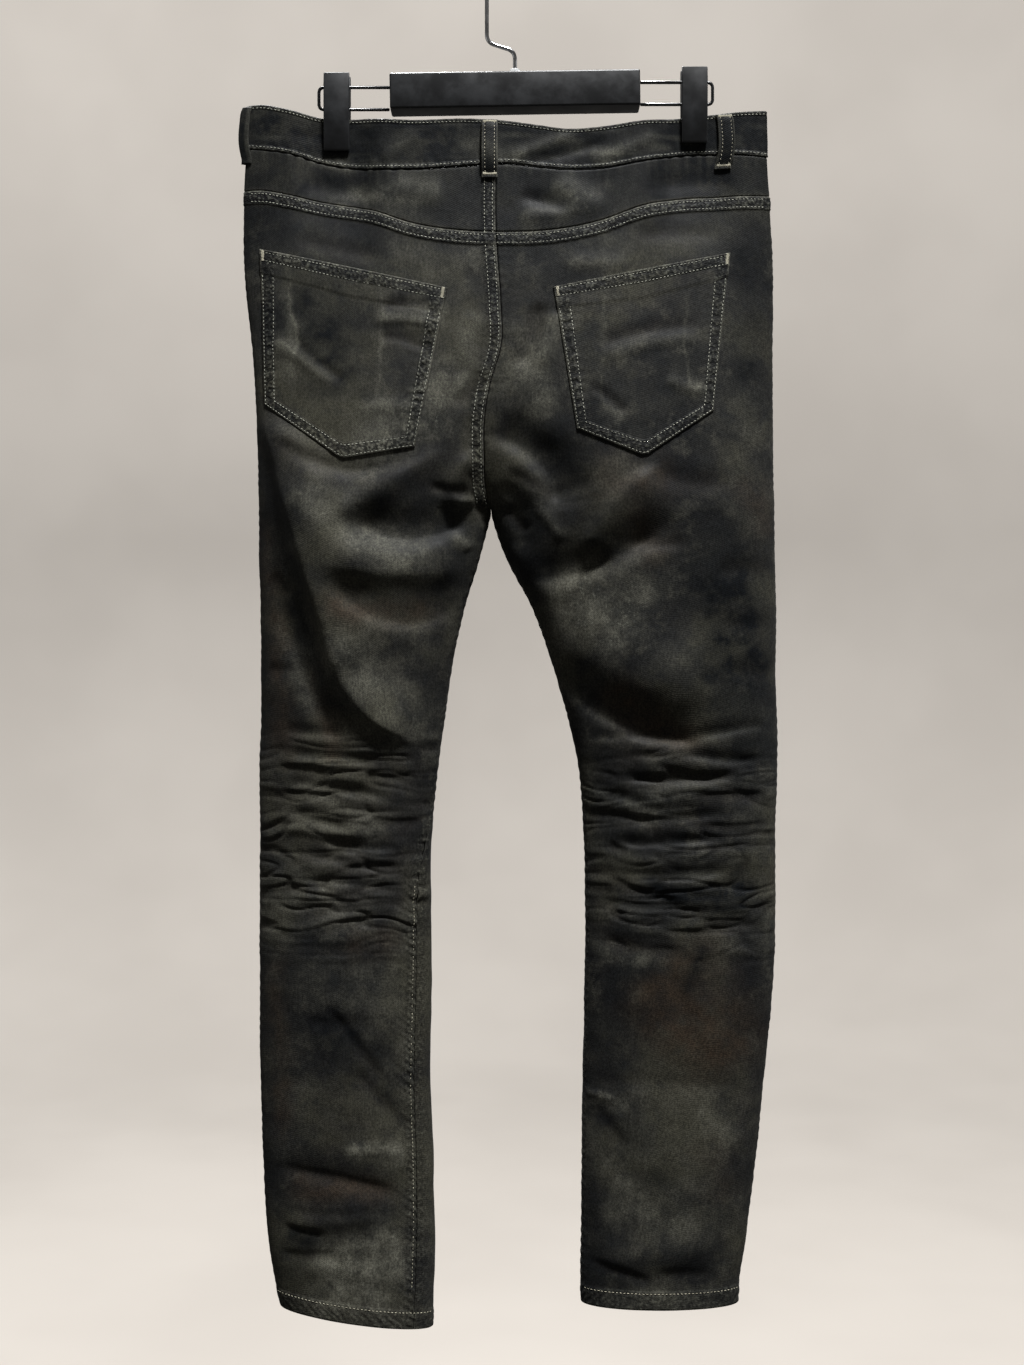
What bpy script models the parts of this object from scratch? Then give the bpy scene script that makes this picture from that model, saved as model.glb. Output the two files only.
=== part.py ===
"""Slim coated jeans, hung by the waistband from a clip hanger with a wire hook.

Sizes are in millimetres until a mesh is made. x runs to the wearer's right, the back of the jeans faces -y,
and a drop is a height measured down from the hang point, the inner top of the hook.
"""

import math
from collections import namedtuple

import bmesh
import bpy
import numpy as np

MM = 0.001

# Cloth thicknesses, and the gap that parts two pieces at a seam.
CLOTH = 1.2
BAND_OUTER = 0.9
BAND_INNER = 1.5
LOOP_CLOTH = 1.6
GAP = 0.3
CLEAR = 0.45
POCKET_CLEAR = 0.55

# Drops of the landmarks, the sizes of small pieces, and how far round its half section the waistband laps.
HIP_DROP = 300
CROTCH_DROP = 503
BUTTON_DROP = 182
HEM_HEIGHT = 16
HEM_EXTRA = 0.6
POCKET_HEM = 26
POCKET_HEM_EXTRA = 0.7
SCOOP_DEPTH = 66
SCOOP_WIDTH = 100
FACING_HEIGHT = 98
FACING_CLOTH = 0.8
FACING_SLACK = 1.3
FACING_SLACK_FADE = (192, 235)
FLY_WIDTH = 40
FLY_OVERLAP = 8
FLY_LENGTH = 150
LOOP_WIDTH = 14
LOOP_ARCH = 2.6
LOOP_FOOT = 13
SIDE_LOOP_ANGLE = 0.27
LAP_REACH = 0.14
LAP_RISE = (1.29, 1.52)
BUTTON_RADIUS = 8.5
BUTTON_HEIGHT = 3

# Grid of the pieces: cells across a back or a front panel.
BACK_COLUMNS = 15
FRONT_COLUMNS = 10
FACING_COLUMNS = 7

# Outline and depth of the garment: the outseams, the inseams below the crotch, and half the thickness of
# the hanging garment towards the back and the front.
Section = namedtuple("Section", "drop left_out left_in right_in right_out back front")
SECTIONS = [
    Section(*row)
    for row in (
        (140, -236, -21, -21, 221, 8, 7),
        (190, -237, -21, -21, 222, 11, 9),
        (229, -239, -21, -21, 224, 15, 12),
        (299, -237.5, -21, -21, 227, 24, 17),
        (370, -230, -21, -21, 227, 31, 21),
        (440, -227, -21, -21, 227, 35, 25),
        (503, -225.5, -21, -21, 228, 37, 28),
        (546, -224.5, -31.5, -7, 229, 36, 30),
        (581, -223.5, -42, 11.5, 229.5, 35, 30),
        (651, -223.5, -56.5, 37, 229.5, 33, 31),
        (722, -224.5, -67, 54.5, 230.5, 30, 32),
        (792, -224.5, -73, 60, 229, 28, 31),
        (862, -224.5, -73, 61.5, 229, 28, 29),
        (933, -224.5, -73, 60.5, 226, 28, 27),
        (1003, -223.5, -74, 59, 219, 27, 25),
        (1074, -221, -71.5, 59, 212, 26, 24),
        (1144, -216.5, -70.5, 58, 202.5, 25, 24),
        (1179, -210.5, -71.5, 57.5, 197, 24, 23),
        (1222, -200, -73, 60.5, 194, 24, 23),
    )
]

# The centre seams from the waistband to the crotch.
Seam = namedtuple("Seam", "drop back front")
CENTRE_SEAM = [
    Seam(*row)
    for row in (
        (140, -15, -8),
        (263, -16.5, -8),
        (325, -12.5, -9),
        (362, -12, -10),
        (398, -22, -12),
        (424, -26.5, -14),
        (458, -27, -17),
        (490, -25, -20),
        (503, -21, -21),
    )
]

# The edges of the waistband and the yoke, as drops across the back, and how much lower the front hangs.
Band = namedtuple("Band", "x top bottom yoke")
BAND = [
    Band(*row)
    for row in (
        (-240, 147, 184, 222),
        (-222, 146, 186, 222),
        (-201, 150, 189, 226),
        (-168, 158, 198, 233),
        (-126, 159, 204, 241),
        (-92, 161, 205, 253),
        (-41, 160, 202, 261),
        (-8, 162, 200, 262),
        (22, 166, 203, 261),
        (45, 169, 205, 258),
        (75, 167, 204, 251),
        (112, 161, 197, 237),
        (145, 158, 191, 230),
        (180, 154, 190, 228),
        (230, 150, 192, 226),
    )
]
FRONT_SAG = 6
SAG_HALF_WIDTH = 140

# The left inseam is turned round to the back below the knee.
Turn = namedtuple("Turn", "drop turn")
LEFT_TURN = [Turn(*row) for row in ((770, 0), (830, 10), (900, 12.5), (1060, 14), (1225, 16))]

# Drops of the rows of cells down a leg. The knee has the closest rows, for its creases.
Stretch = namedtuple("Stretch", "start rows")
BACK_ROWS = [
    Stretch(*row)
    for row in ((232, 6), (420, 8), (531, 9), (690, 12), (870, 5), (1040, 6), (1194, 0))
]
HEM_DROP = 1211
CREASE_ROWS_FADE = (230, 420)
HEM_ROWS_FADE = (1080, 1190)

# Largest folds: a bent line from start to end through its middle, how far it reaches to either side of that
# line, and its height. Side a is on the right of the way from start to end, as seen on the page.
Fold = namedtuple("Fold", "x0 drop0 x1 drop1 x2 drop2 side_a side_b height")
BACK_FOLDS = [
    Fold(*row)
    for row in (
        (-216, 425, -188, 520, -170, 598, 16, 60, 9),
        (-172, 592, -150, 668, -90, 704, 18, 52, 8),
        (-196, 446, -158, 470, -118, 474, 12, 16, 3.5),
        (-118, 474, -72, 458, -36, 430, 12, 18, 4),
        (-150, 492, -96, 500, -40, 474, 20, 22, -6),
        (-192, 480, -128, 560, -40, 540, 16, 26, 7),
        (-108, 522, -74, 524, -42, 508, 15, 15, -6.5),
        (-160, 556, -106, 604, -48, 584, 24, 24, -5.5),
        (-34, 452, -58, 480, -50, 506, 9, 9, 5),
        (-26, 446, 20, 474, 36, 506, 10, 12, 6),
        (-10, 440, 60, 462, 66, 540, 17, 17, -7),
        (110, 462, 92, 504, 52, 536, 12, 20, 5),
        (66, 548, 104, 542, 138, 502, 12, 20, 4.5),
        (26, 560, 70, 596, 120, 620, 30, 30, 5),
        (28, 632, 90, 650, 154, 698, 18, 18, -6.5),
        (40, 668, 96, 690, 150, 722, 16, 16, 3),
        (-204, 694, -176, 698, -146, 699, 7, 9, -3.5),
        (-204, 716, -160, 717, -112, 722, 7, 9, -4.5),
        (-206, 741, -150, 741, -104, 756, 7, 10, -4.5),
        (-200, 766, -170, 771, -140, 782, 7, 10, -4.5),
        (-170, 789, -136, 800, -98, 796, 7, 9, -4),
        (-200, 799, -176, 803, -140, 810, 7, 10, -3.5),
        (-194, 823, -150, 826, -96, 832, 8, 12, -4),
        (60, 700, 120, 700, 160, 704, 7, 9, -3.5),
        (150, 702, 190, 694, 220, 689, 7, 9, -4),
        (138, 712, 176, 724, 220, 720, 7, 9, -4.5),
        (84, 732, 130, 744, 198, 733, 7, 10, -4.5),
        (64, 740, 86, 754, 120, 760, 7, 10, -4),
        (76, 770, 130, 774, 190, 766, 7, 10, -3.5),
        (84, 790, 120, 796, 190, 786, 7, 10, -4.5),
        (86, 818, 140, 824, 192, 815, 8, 10, -4),
        (66, 838, 100, 852, 150, 846, 8, 12, -4),
        (-214, 1074, -150, 1082, -90, 1102, 12, 16, -4),
        (-204, 1122, -160, 1122, -116, 1112, 12, 14, 4),
        (-142, 984, -110, 1016, -86, 1052, 16, 16, -3),
        (64, 1002, 130, 998, 200, 1006, 18, 22, -3),
        (62, 1150, 120, 1158, 180, 1140, 14, 18, 3),
    )
]
FRONT_FOLDS = [
    Fold(*row)
    for row in (
        (-60, 430, -110, 404, -180, 398, 12, 20, 4),
        (-40, 462, -100, 452, -190, 462, 14, 22, 4.5),
        (-36, 496, -110, 512, -196, 500, 16, 24, -5),
        (30, 434, 90, 408, 170, 402, 12, 20, 4),
        (10, 466, 80, 456, 176, 468, 14, 22, 4.5),
        (6, 500, 90, 516, 190, 506, 16, 24, -5),
        (-190, 660, -140, 676, -80, 662, 14, 18, -4),
        (-204, 724, -150, 734, -90, 722, 9, 12, -4.5),
        (-198, 764, -140, 758, -92, 770, 9, 12, -4.5),
        (-204, 808, -150, 816, -96, 806, 9, 12, -4),
        (70, 664, 140, 680, 210, 660, 14, 18, -4),
        (72, 726, 140, 718, 210, 730, 9, 12, -4.5),
        (76, 768, 130, 780, 204, 764, 9, 12, -4.5),
        (72, 812, 140, 806, 200, 818, 9, 12, -4),
        (-206, 1120, -150, 1104, -92, 1124, 14, 18, -4),
        (68, 1096, 130, 1112, 190, 1098, 14, 18, -4),
    )
]
FOLD_STEPS = 10
FOLD_END = 0.22

# The corners of the back pockets, from the top left round to the bottom left.
Pocket = namedtuple("Pocket", "top_left top_right bottom_right point bottom_left")
POCKETS = {
    "left": Pocket((-222, 274), (-58, 312), (-86, 451), (-149, 461), (-218, 411)),
    "right": Pocket((33, 311), (187, 278), (171, 418), (111, 459), (53, 435)),
}
POCKET_MARGIN = 9
POCKET_CALM = 14

# Belt loops that lie flat on the waistband: the face that each is on and its place across it.
LOOPS = {
    "belt_loop_back": ("back", -22),
    "belt_loop_right": ("back", 181),
    "belt_loop_front_left": ("front", -112),
    "belt_loop_front_right": ("front", 98),
}

# The hanger. Its bar tilts by a little, and its wires run out of the ends of the bar.
BAR_LENGTH = 219
BAR_DEPTH = 25
BAR_HEIGHT = 31
BAR_DROP = 134.7
BAR_TILT = math.radians(0.9)
WIRE_THICKNESS = 2.8
WIRE_BEND = 5
Clip = namedtuple("Clip", "x top bottom upper_wire lower_wire wire_end")
CLIPS = {
    "left": Clip(-156.4, 118, 187, 129.8, 149.3, -172.5),
    "right": Clip(157.5, 112.8, 180, 125.4, 144.8, 173.9),
}
CLIP_WIDTH = 22.5
JAW_OPEN = 3.7
JAW_THICK = 5.6
JAW_TIP = 3.2
CLIPPED_DEPTH = 2.9
PINCH_HALF_WIDTH = 32
PINCH_FADE = (188, 290)
HOOK_THICKNESS = 3.5
HOOK_RADIUS = 24.75
HOOK_JOG = (98, 90)
HOOK_BEND = 7
HOOK_TIP = 5
COLLAR_RADIUS = 4.6
COLLAR_HEIGHT = 5

SIDES = ("left", "right")
TOWARDS_CENTRE = {"left": 1, "right": -1}


def smooth(at, keys, values):
    """Reads a table between its rows along a curve with no kinks."""
    keys = np.asarray(keys, float)
    values = np.asarray(values, float)
    slopes = np.gradient(values, keys)
    at = np.clip(at, keys[0], keys[-1])
    row = np.clip(np.searchsorted(keys, at, side="right") - 1, 0, len(keys) - 2)
    step = keys[row + 1] - keys[row]
    s = (at - keys[row]) / step
    start = values[row] * (1 + 2 * s) * (1 - s) ** 2
    end = values[row + 1] * s * s * (3 - 2 * s)
    bend = step * s * (1 - s) * (slopes[row] * (1 - s) - slopes[row + 1] * s)
    return start + end + bend


def column(table, name, at):
    """One named column of a table, read at the values of its first column."""
    return smooth(at, [row[0] for row in table], [getattr(row, name) for row in table])


def fade(at, start, end):
    """0 up to the start, 1 from the end on, and an even slope between them."""
    s = np.clip((np.asarray(at, float) - start) / (end - start), 0, 1)
    return s * s * (3 - 2 * s)


def wrapped(drop):
    """How far the half of a section has closed into a leg: 0 at the hips and 1 from the crotch down."""
    s = np.clip((drop - HIP_DROP) / (CROTCH_DROP - HIP_DROP), 0, 1)
    return 2 / math.pi * np.arcsin(s**1.5)


def inner_edge(side, face, drop):
    """x of the centre seam above the crotch and of the inseam below it."""
    seam = column(CENTRE_SEAM, face, drop)
    inseam = column(SECTIONS, side + "_in", np.maximum(drop, CROTCH_DROP))
    return np.where(drop < CROTCH_DROP, seam, inseam)


def half_depth(face, x, drop):
    """Half the thickness of the garment towards one face, drawn in where the clips grip."""
    depth = column(SECTIONS, face, drop)
    pinch = sum(np.exp(-(((x - clip.x) / PINCH_HALF_WIDTH) ** 4)) for clip in CLIPS.values())
    pinch = np.minimum(pinch, 1) * (1 - fade(drop, *PINCH_FADE))
    return depth + (CLIPPED_DEPTH - depth) * pinch


def fold_height(fold, x, drop):
    """The soft ridge or trough of one fold at each place."""
    share = np.linspace(0, 1, FOLD_STEPS + 1)
    line_x = (1 - share) ** 2 * fold.x0 + 2 * share * (1 - share) * fold.x1 + share**2 * fold.x2
    line_drop = (1 - share) ** 2 * fold.drop0 + 2 * share * (1 - share) * fold.drop1 + share**2 * fold.drop2
    nearest = np.full(np.shape(x), np.inf)
    height = np.zeros(np.shape(x))
    for i in range(FOLD_STEPS):
        along = np.array((line_x[i + 1] - line_x[i], line_drop[i + 1] - line_drop[i]))
        length = np.hypot(*along)
        off_x = x - line_x[i]
        off_drop = drop - line_drop[i]
        s = np.clip((off_x * along[0] + off_drop * along[1]) / length**2, 0, 1)
        side = off_drop * along[0] - off_x * along[1]
        distance = np.hypot(off_x - s * along[0], off_drop - s * along[1])
        reach = np.where(side > 0, fold.side_a, fold.side_b)
        done = (i + s) / FOLD_STEPS
        ends = fade(done, 0, FOLD_END) * fade(1 - done, 0, FOLD_END)
        closer = distance < nearest
        height = np.where(closer, fold.height * ends * np.exp(-((distance / reach) ** 2)), height)
        nearest = np.minimum(distance, nearest)
    return height


def calm(x, drop):
    """1 on open cloth and 0 under a back pocket, whose stiff patch lies flat."""
    still = np.zeros(np.shape(x))
    for pocket in POCKETS.values():
        left = min(pocket.top_left[0], pocket.bottom_left[0]) - POCKET_MARGIN
        right = max(pocket.top_right[0], pocket.bottom_right[0]) + POCKET_MARGIN
        top = min(pocket.top_left[1], pocket.top_right[1]) - POCKET_MARGIN
        foot = pocket.point[1] + POCKET_MARGIN
        across = fade(x, left - POCKET_CALM, left) * fade(-x, -right - POCKET_CALM, -right)
        down = fade(drop, top - POCKET_CALM, top) * fade(-drop, -foot - POCKET_CALM, -foot)
        still = np.maximum(still, across * down)
    return 1 - still


def folds(face, x, drop):
    """The height of all the folds of one face."""
    if face == "front":
        return sum(fold_height(fold, x, drop) for fold in FRONT_FOLDS)
    return sum(fold_height(fold, x, drop) for fold in BACK_FOLDS) * calm(x, drop)


def section_edges(side, face, drop, inset):
    """The outseam and the signed half width of a half section, moved in by an inset."""
    wrap = wrapped(drop)
    towards = TOWARDS_CENTRE[side]
    out = column(SECTIONS, side + "_out", drop) + towards * inset
    edge = inner_edge(side, face, drop) - towards * (inset + GAP / 2) * wrap
    return out, (edge - out) / (1 - np.cos(math.pi / 2 * (1 + wrap)))


def around_cloth(side, around, drop, inset):
    """x and y of the cloth at an angle round a half section: 0 at the outseam, growing over the back."""
    face = np.where(around > 0, 1, -1)
    back_out, back_half = section_edges(side, "back", drop, inset)
    front_out, front_half = section_edges(side, "front", drop, inset)
    half = np.where(face > 0, back_half, front_half)
    x = np.where(face > 0, back_out, front_out) + half * (1 - np.cos(around))
    lift = np.sin(around)
    back = (half_depth("back", x, drop) - inset) + folds("back", x, drop)
    front = (half_depth("front", x, drop) - inset) + folds("front", x, drop)
    return x, -lift * np.where(lift > 0, back, front)


def over_cloth(face, x, drop, outward):
    """y of the surface of one face at x, moved outward."""
    found = np.zeros(np.shape(x))
    for side in SIDES:
        out, half = section_edges(side, face, drop, -outward)
        across = 1 - (x - out) / half
        lift = np.sqrt(np.clip(1 - across**2, 0, 1))
        here = (x - inner_edge(side, face, drop)) * TOWARDS_CENTRE[side] <= 0
        found = np.where(here, lift, found)
    depth = half_depth(face, x, drop) + outward + folds(face, x, drop)
    return found * depth * (-1 if face == "back" else 1)


def seam_angle(side, face, drop):
    """The angle at which a panel of one face ends at its inner seam, with half the gap left free."""
    end = math.pi / 2 * (1 + wrapped(drop))
    out, half = section_edges(side, face, drop, 0)
    if side == "left":
        turn = column(LEFT_TURN, "turn", drop) * (drop > LEFT_TURN[0].drop)
        end = np.where(turn > 0, np.arccos(np.clip(turn / half - 1, -1, 1)), end)
    depth = column(SECTIONS, face, drop)
    gap = GAP / 2 / np.hypot(half * np.sin(end), depth * np.cos(end))
    if face == "back":
        return end - gap
    beyond = np.where(end < math.pi / 2 * (1 + wrapped(drop)) - 1e-6, 2 * math.pi - end, end)
    return -(beyond - gap)


def front_drop(x, name):
    """The edge of the waistband in front, which hangs a little lower between the clips."""
    sag = FRONT_SAG * np.clip(1 - (x / SAG_HALF_WIDTH) ** 2, 0, 1)
    return column(BAND, name, x) + sag


def band_edge(face, x, name):
    """The drop of an edge of the waistband or the yoke on one face."""
    return column(BAND, name, x) if face == "back" else front_drop(x, name)


def panel_top(side, face, x):
    """The top edge of a leg panel: the yoke seam behind, and the waistband and pocket mouth in front."""
    if face == "back":
        return column(BAND, "yoke", x) + GAP / 2
    in_from_side = (x - column(SECTIONS, side + "_out", 230.0)) * TOWARDS_CENTRE[side]
    scoop = SCOOP_DEPTH * np.clip(1 - (in_from_side / SCOOP_WIDTH) ** 2, 0, 1) ** 0.6
    return front_drop(x, "bottom") + GAP / 2 + scoop


def hem_line(side, x):
    """The drop of the hem. The left leg hangs a little askew."""
    if side == "left":
        return 1201 + (x + 204) * 0.137
    return np.full(np.shape(x), 1197.5)


def row_drops():
    """The drops of the rows of a leg panel, from its top to its hem."""
    drops = []
    for here, after in zip(BACK_ROWS, BACK_ROWS[1:]):
        drops += list(np.linspace(here.start, after.start, here.rows, endpoint=False))
    return np.array(drops + [HEM_DROP - HEM_HEIGHT - 1, HEM_DROP - HEM_HEIGHT, HEM_DROP])


def slab(columns, rows):
    """A flat sheet over the unit square, with its outer skin at height 0 and its inner skin at height 1."""
    bm = bmesh.new()
    bmesh.ops.create_grid(bm, x_segments=columns, y_segments=rows, size=0.5)
    bmesh.ops.translate(bm, vec=(0.5, 0.5, 0), verts=bm.verts)
    grown = bmesh.ops.extrude_face_region(bm, geom=bm.faces[:])
    inner = [item for item in grown["geom"] if isinstance(item, bmesh.types.BMVert)]
    bmesh.ops.translate(bm, vec=(0, 0, 1), verts=inner)
    return bm


def add_object(name, mesh, material):
    """An object for a mesh, in the garment's collection."""
    made = bpy.data.objects.new(name, mesh)
    mesh.materials.append(material)
    jeans.objects.link(made)
    return made


def cloth_piece(name, columns, rows, shape, material):
    """A piece of cloth: a slab whose points are moved by a shape function of across, down and layer."""
    bm = slab(columns, rows)
    flat = np.array([vert.co for vert in bm.verts])
    x, y, drop = shape(flat[:, 0], flat[:, 1], flat[:, 2])
    for vert, place in zip(bm.verts, zip(x, y, -drop)):
        vert.co = [MM * value for value in place]
    if bm.calc_volume(signed=True) < 0:
        bmesh.ops.reverse_faces(bm, faces=bm.faces)
    mesh = bpy.data.meshes.new(name)
    bm.to_mesh(mesh)
    bm.free()
    mesh.shade_smooth()
    mesh.set_sharp_from_angle(angle=math.radians(50))
    return add_object(name, mesh, material)


def leg_panel(side, face):
    """One leg of the back or the front, from the yoke or waistband to the hem."""
    drops = row_drops()
    inset_steps = np.where(drops >= HEM_DROP - HEM_HEIGHT, HEM_EXTRA, 0)

    def shape(across, down, layer):
        row = np.round(down * (len(drops) - 1)).astype(int)
        nominal = drops[row]
        drop = nominal.copy()
        towards_hem = fade(nominal, *HEM_ROWS_FADE)
        from_top = 1 - fade(nominal, *CREASE_ROWS_FADE)
        for _ in range(4):
            start = GAP / 2 / column(SECTIONS, face, drop)
            end = seam_angle(side, face, drop)
            around = (start if face == "back" else -start) * (1 - across) + end * across
            x, _ = around_cloth(side, around, drop, 0.0)
            drop = nominal + (panel_top(side, face, x) - drops[0]) * from_top
            drop += (hem_line(side, x) - HEM_DROP) * towards_hem
        thick = inset_steps[row]
        inset = np.where(layer > 0.5, CLOTH + thick, -thick)
        x, y = around_cloth(side, around, drop, inset)
        return x, y, drop

    columns = BACK_COLUMNS if face == "back" else FRONT_COLUMNS
    return cloth_piece(face + "_leg_" + side, columns, len(drops) - 1, shape, coated_denim)


def yoke(side):
    """The piece between the waistband and the back panel."""

    def shape(across, down, layer):
        drop = np.full(across.shape, 215.0)
        for _ in range(4):
            start = GAP / 2 / column(SECTIONS, "back", drop)
            around = start * (1 - across) + seam_angle(side, "back", drop) * across
            x, _ = around_cloth(side, around, drop, 0.0)
            top = band_edge("back", x, "bottom") + GAP / 2
            drop = top * (1 - down) + (column(BAND, "yoke", x) - GAP / 2) * down
        x, y = around_cloth(side, around, drop, CLOTH * layer)
        return x, y, drop

    return cloth_piece("yoke_" + side, BACK_COLUMNS, 3, shape, coated_denim)


def facing(side):
    """The denim that shows in the mouth of a front pocket, behind the front panel."""

    def shape(across, down, layer):
        drop = np.full(across.shape, 215.0)
        for _ in range(4):
            start = -GAP / 2 / column(SECTIONS, "front", drop)
            end = seam_angle(side, "front", drop)
            around = start + (end - start) * across * FACING_COLUMNS / FRONT_COLUMNS
            x, _ = around_cloth(side, around, drop, 0.0)
            drop = front_drop(x, "bottom") + GAP / 2 + FACING_HEIGHT * down
        behind = CLOTH + CLEAR + FACING_SLACK * fade(drop, *FACING_SLACK_FADE)
        x, y = around_cloth(side, around, drop, behind + FACING_CLOTH * layer)
        return x, y, drop

    return cloth_piece("pocket_facing_" + side, FACING_COLUMNS, 6, shape, coated_denim)


def both_sides(left, around, drop, inset):
    """x and y of the cloth where some places are on the left half and the others on the right."""
    on_left = around_cloth("left", around, drop, inset)
    on_right = around_cloth("right", around, drop, inset)
    return [np.where(left, one, other) for one, other in zip(on_left, on_right)]


def waistband():
    """One strip from under the fly, round the back, to its end that laps over in front."""
    front = np.linspace(0, math.pi / 2, FRONT_COLUMNS + 1)
    back = np.linspace(0, math.pi / 2, BACK_COLUMNS + 1)
    under = [("right", -angle) for angle in front[:0:-1]]
    behind = [("right", angle) for angle in back[:-1]] + [("left", angle) for angle in back[:0:-1]]
    over = [("left", -angle) for angle in front]
    over += [("left", -math.pi / 2 - LAP_REACH * share) for share in (0.5, 1)]
    stations = under + behind + over
    lift = BAND_OUTER + BAND_INNER + CLEAR

    def shape(across, down, layer):
        index = np.round(across * (len(stations) - 1)).astype(int)
        around = np.array([stations[i][1] for i in index])
        left = np.array([stations[i][0] == "left" for i in index])
        lapped = left * fade(-around, *LAP_RISE)
        inset = np.where(layer > 0.5, BAND_INNER, -BAND_OUTER) - lift * lapped
        drop = np.full(across.shape, 170.0)
        for _ in range(4):
            x, _ = both_sides(left, around, drop, 0.0)
            behind = around >= 0
            top = np.where(behind, band_edge("back", x, "top"), band_edge("front", x, "top"))
            bottom = np.where(behind, band_edge("back", x, "bottom"), band_edge("front", x, "bottom"))
            drop = top * (1 - down) + (bottom - GAP / 2) * down
        x, y = both_sides(left, around, drop, inset)
        return x, y, drop

    return cloth_piece("waistband", len(stations) - 1, 3, shape, coated_denim)


def back_pocket(side):
    """A patch pocket with a pointed foot and a thicker hem along its mouth."""
    corners = POCKETS[side]
    height = corners.bottom_left[1] - corners.top_left[1]
    hem_share = POCKET_HEM / height
    rows = [0, hem_share, hem_share + 0.01] + [hem_share + (1 - hem_share) * i / 6 for i in range(1, 7)]

    def shape(across, down, layer):
        row = np.round(down * (len(rows) - 1)).astype(int)
        down = np.array(rows)[row]
        foot = [corners.bottom_left, corners.point, corners.bottom_right]
        spot = []
        for axis in range(2):
            top = corners.top_left[axis] * (1 - across) + corners.top_right[axis] * across
            bottom = np.interp(across, (0, 0.5, 1), [corner[axis] for corner in foot])
            spot.append(top * (1 - down) + bottom * down)
        thick = np.where(row < 2, POCKET_HEM_EXTRA, 0)
        outward = np.where(layer > 0.5, POCKET_CLEAR, POCKET_CLEAR + CLOTH + thick)
        return spot[0], over_cloth("back", *spot, outward), spot[1]

    return cloth_piece("back_pocket_" + side, 10, len(rows) - 1, shape, coated_denim)


def belt_loop(name, face, centre):
    """A loop sewn down at the top of the waistband and just below its seam, with its middle standing off."""
    top = float(band_edge(face, centre, "top")) + 1
    seam = float(band_edge(face, centre, "bottom"))
    drops = np.array([top, top + 5, top + 16, seam - 12, seam - 2, seam + 4, seam + LOOP_FOOT])
    lifts = BAND_OUTER + CLEAR + LOOP_ARCH * np.array([0, 0.5, 1, 1, 0.4, 0, 0])
    lifts[-2:] -= BAND_OUTER - 0.3

    def shape(across, down, layer):
        row = np.round(down * (len(drops) - 1)).astype(int)
        x = centre + LOOP_WIDTH * (across - 0.5)
        crown = 0.5 * (1 - (2 * across - 1) ** 2)
        outward = lifts[row] + np.where(layer > 0.5, 0, LOOP_CLOTH + crown)
        return x, over_cloth(face, x, drops[row], outward), drops[row]

    return cloth_piece(name, 4, len(drops) - 1, shape, coated_denim)


def side_loop():
    """The loop at the left outseam, folded round the edge of the waistband."""
    top = float(column(BAND, "top", -236.0)) + 1
    seam = float(column(BAND, "bottom", -236.0))
    drops = np.array([top, top + 5, top + 14, seam - 12, seam - 3, seam + 5, seam + LOOP_FOOT])
    lifts = BAND_OUTER + CLEAR + LOOP_ARCH * np.array([0, 0.6, 1, 1, 0.6, 0, 0])

    def shape(across, down, layer):
        row = np.round(down * (len(drops) - 1)).astype(int)
        around = SIDE_LOOP_ANGLE * (2 * across - 1)
        outward = lifts[row] + np.where(layer > 0.5, 0, LOOP_CLOTH)
        x, y = around_cloth("left", around, drops[row], -outward)
        return x, y, drops[row]

    return cloth_piece("belt_loop_left", 6, len(drops) - 1, shape, coated_denim)


def fly_flap():
    """The stitched flap that covers the fly, rounded off towards the crotch."""
    centre = float(column(CENTRE_SEAM, "front", 200.0))

    def shape(across, down, layer):
        x = centre - FLY_WIDTH + (FLY_WIDTH + FLY_OVERLAP) * across
        top = front_drop(x, "bottom") + 2 * GAP
        length = FLY_LENGTH - 46 * np.clip(1 - across / 0.7, 0, 1) ** 2
        drop = top + length * down
        outward = np.where(layer > 0.5, CLEAR, CLEAR + CLOTH)
        return x, over_cloth("front", x, drop, outward), drop

    return cloth_piece("fly_flap", 6, 10, shape, coated_denim)


def principled(name, colour, roughness, metallic=0.0):
    """A plain material with a colour given as sRGB hex digits."""
    material = bpy.data.materials.new(name)
    material.use_nodes = True
    shader = material.node_tree.nodes["Principled BSDF"]
    channels = [int(colour[i : i + 2], 16) / 255 for i in (0, 2, 4)]
    linear = [c / 12.92 if c <= 0.04045 else ((c + 0.055) / 1.055) ** 2.4 for c in channels]
    shader.inputs["Base Color"].default_value = (*linear, 1)
    shader.inputs["Roughness"].default_value = roughness
    shader.inputs["Metallic"].default_value = metallic
    return material


def waist_button():
    """The button on the lapped end of the waistband."""
    x = float(column(CENTRE_SEAM, "front", 180.0)) + 12
    outward = 2 * BAND_OUTER + BAND_INNER + CLEAR + GAP
    y = float(over_cloth("front", x, BUTTON_DROP, outward)) + 0.3 + BUTTON_HEIGHT / 2
    bpy.ops.mesh.primitive_cylinder_add(vertices=24, radius=BUTTON_RADIUS * MM, depth=BUTTON_HEIGHT * MM)
    made = bpy.context.object
    made.name = made.data.name = "waist_button"
    made.location = (x * MM, y * MM, -BUTTON_DROP * MM)
    made.rotation_euler = (math.pi / 2, 0, 0)
    made.data.materials.append(gun_metal)
    bevel = made.modifiers.new("rounded rim", "BEVEL")
    bevel.width = 0.6 * MM
    bevel.segments = 2
    bevel.angle_limit = math.radians(60)
    bevel.limit_method = "ANGLE"
    take(made)


def take(made):
    """Moves an object that an operator added into the garment's collection."""
    for group in made.users_collection:
        group.objects.unlink(made)
    jeans.objects.link(made)


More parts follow.
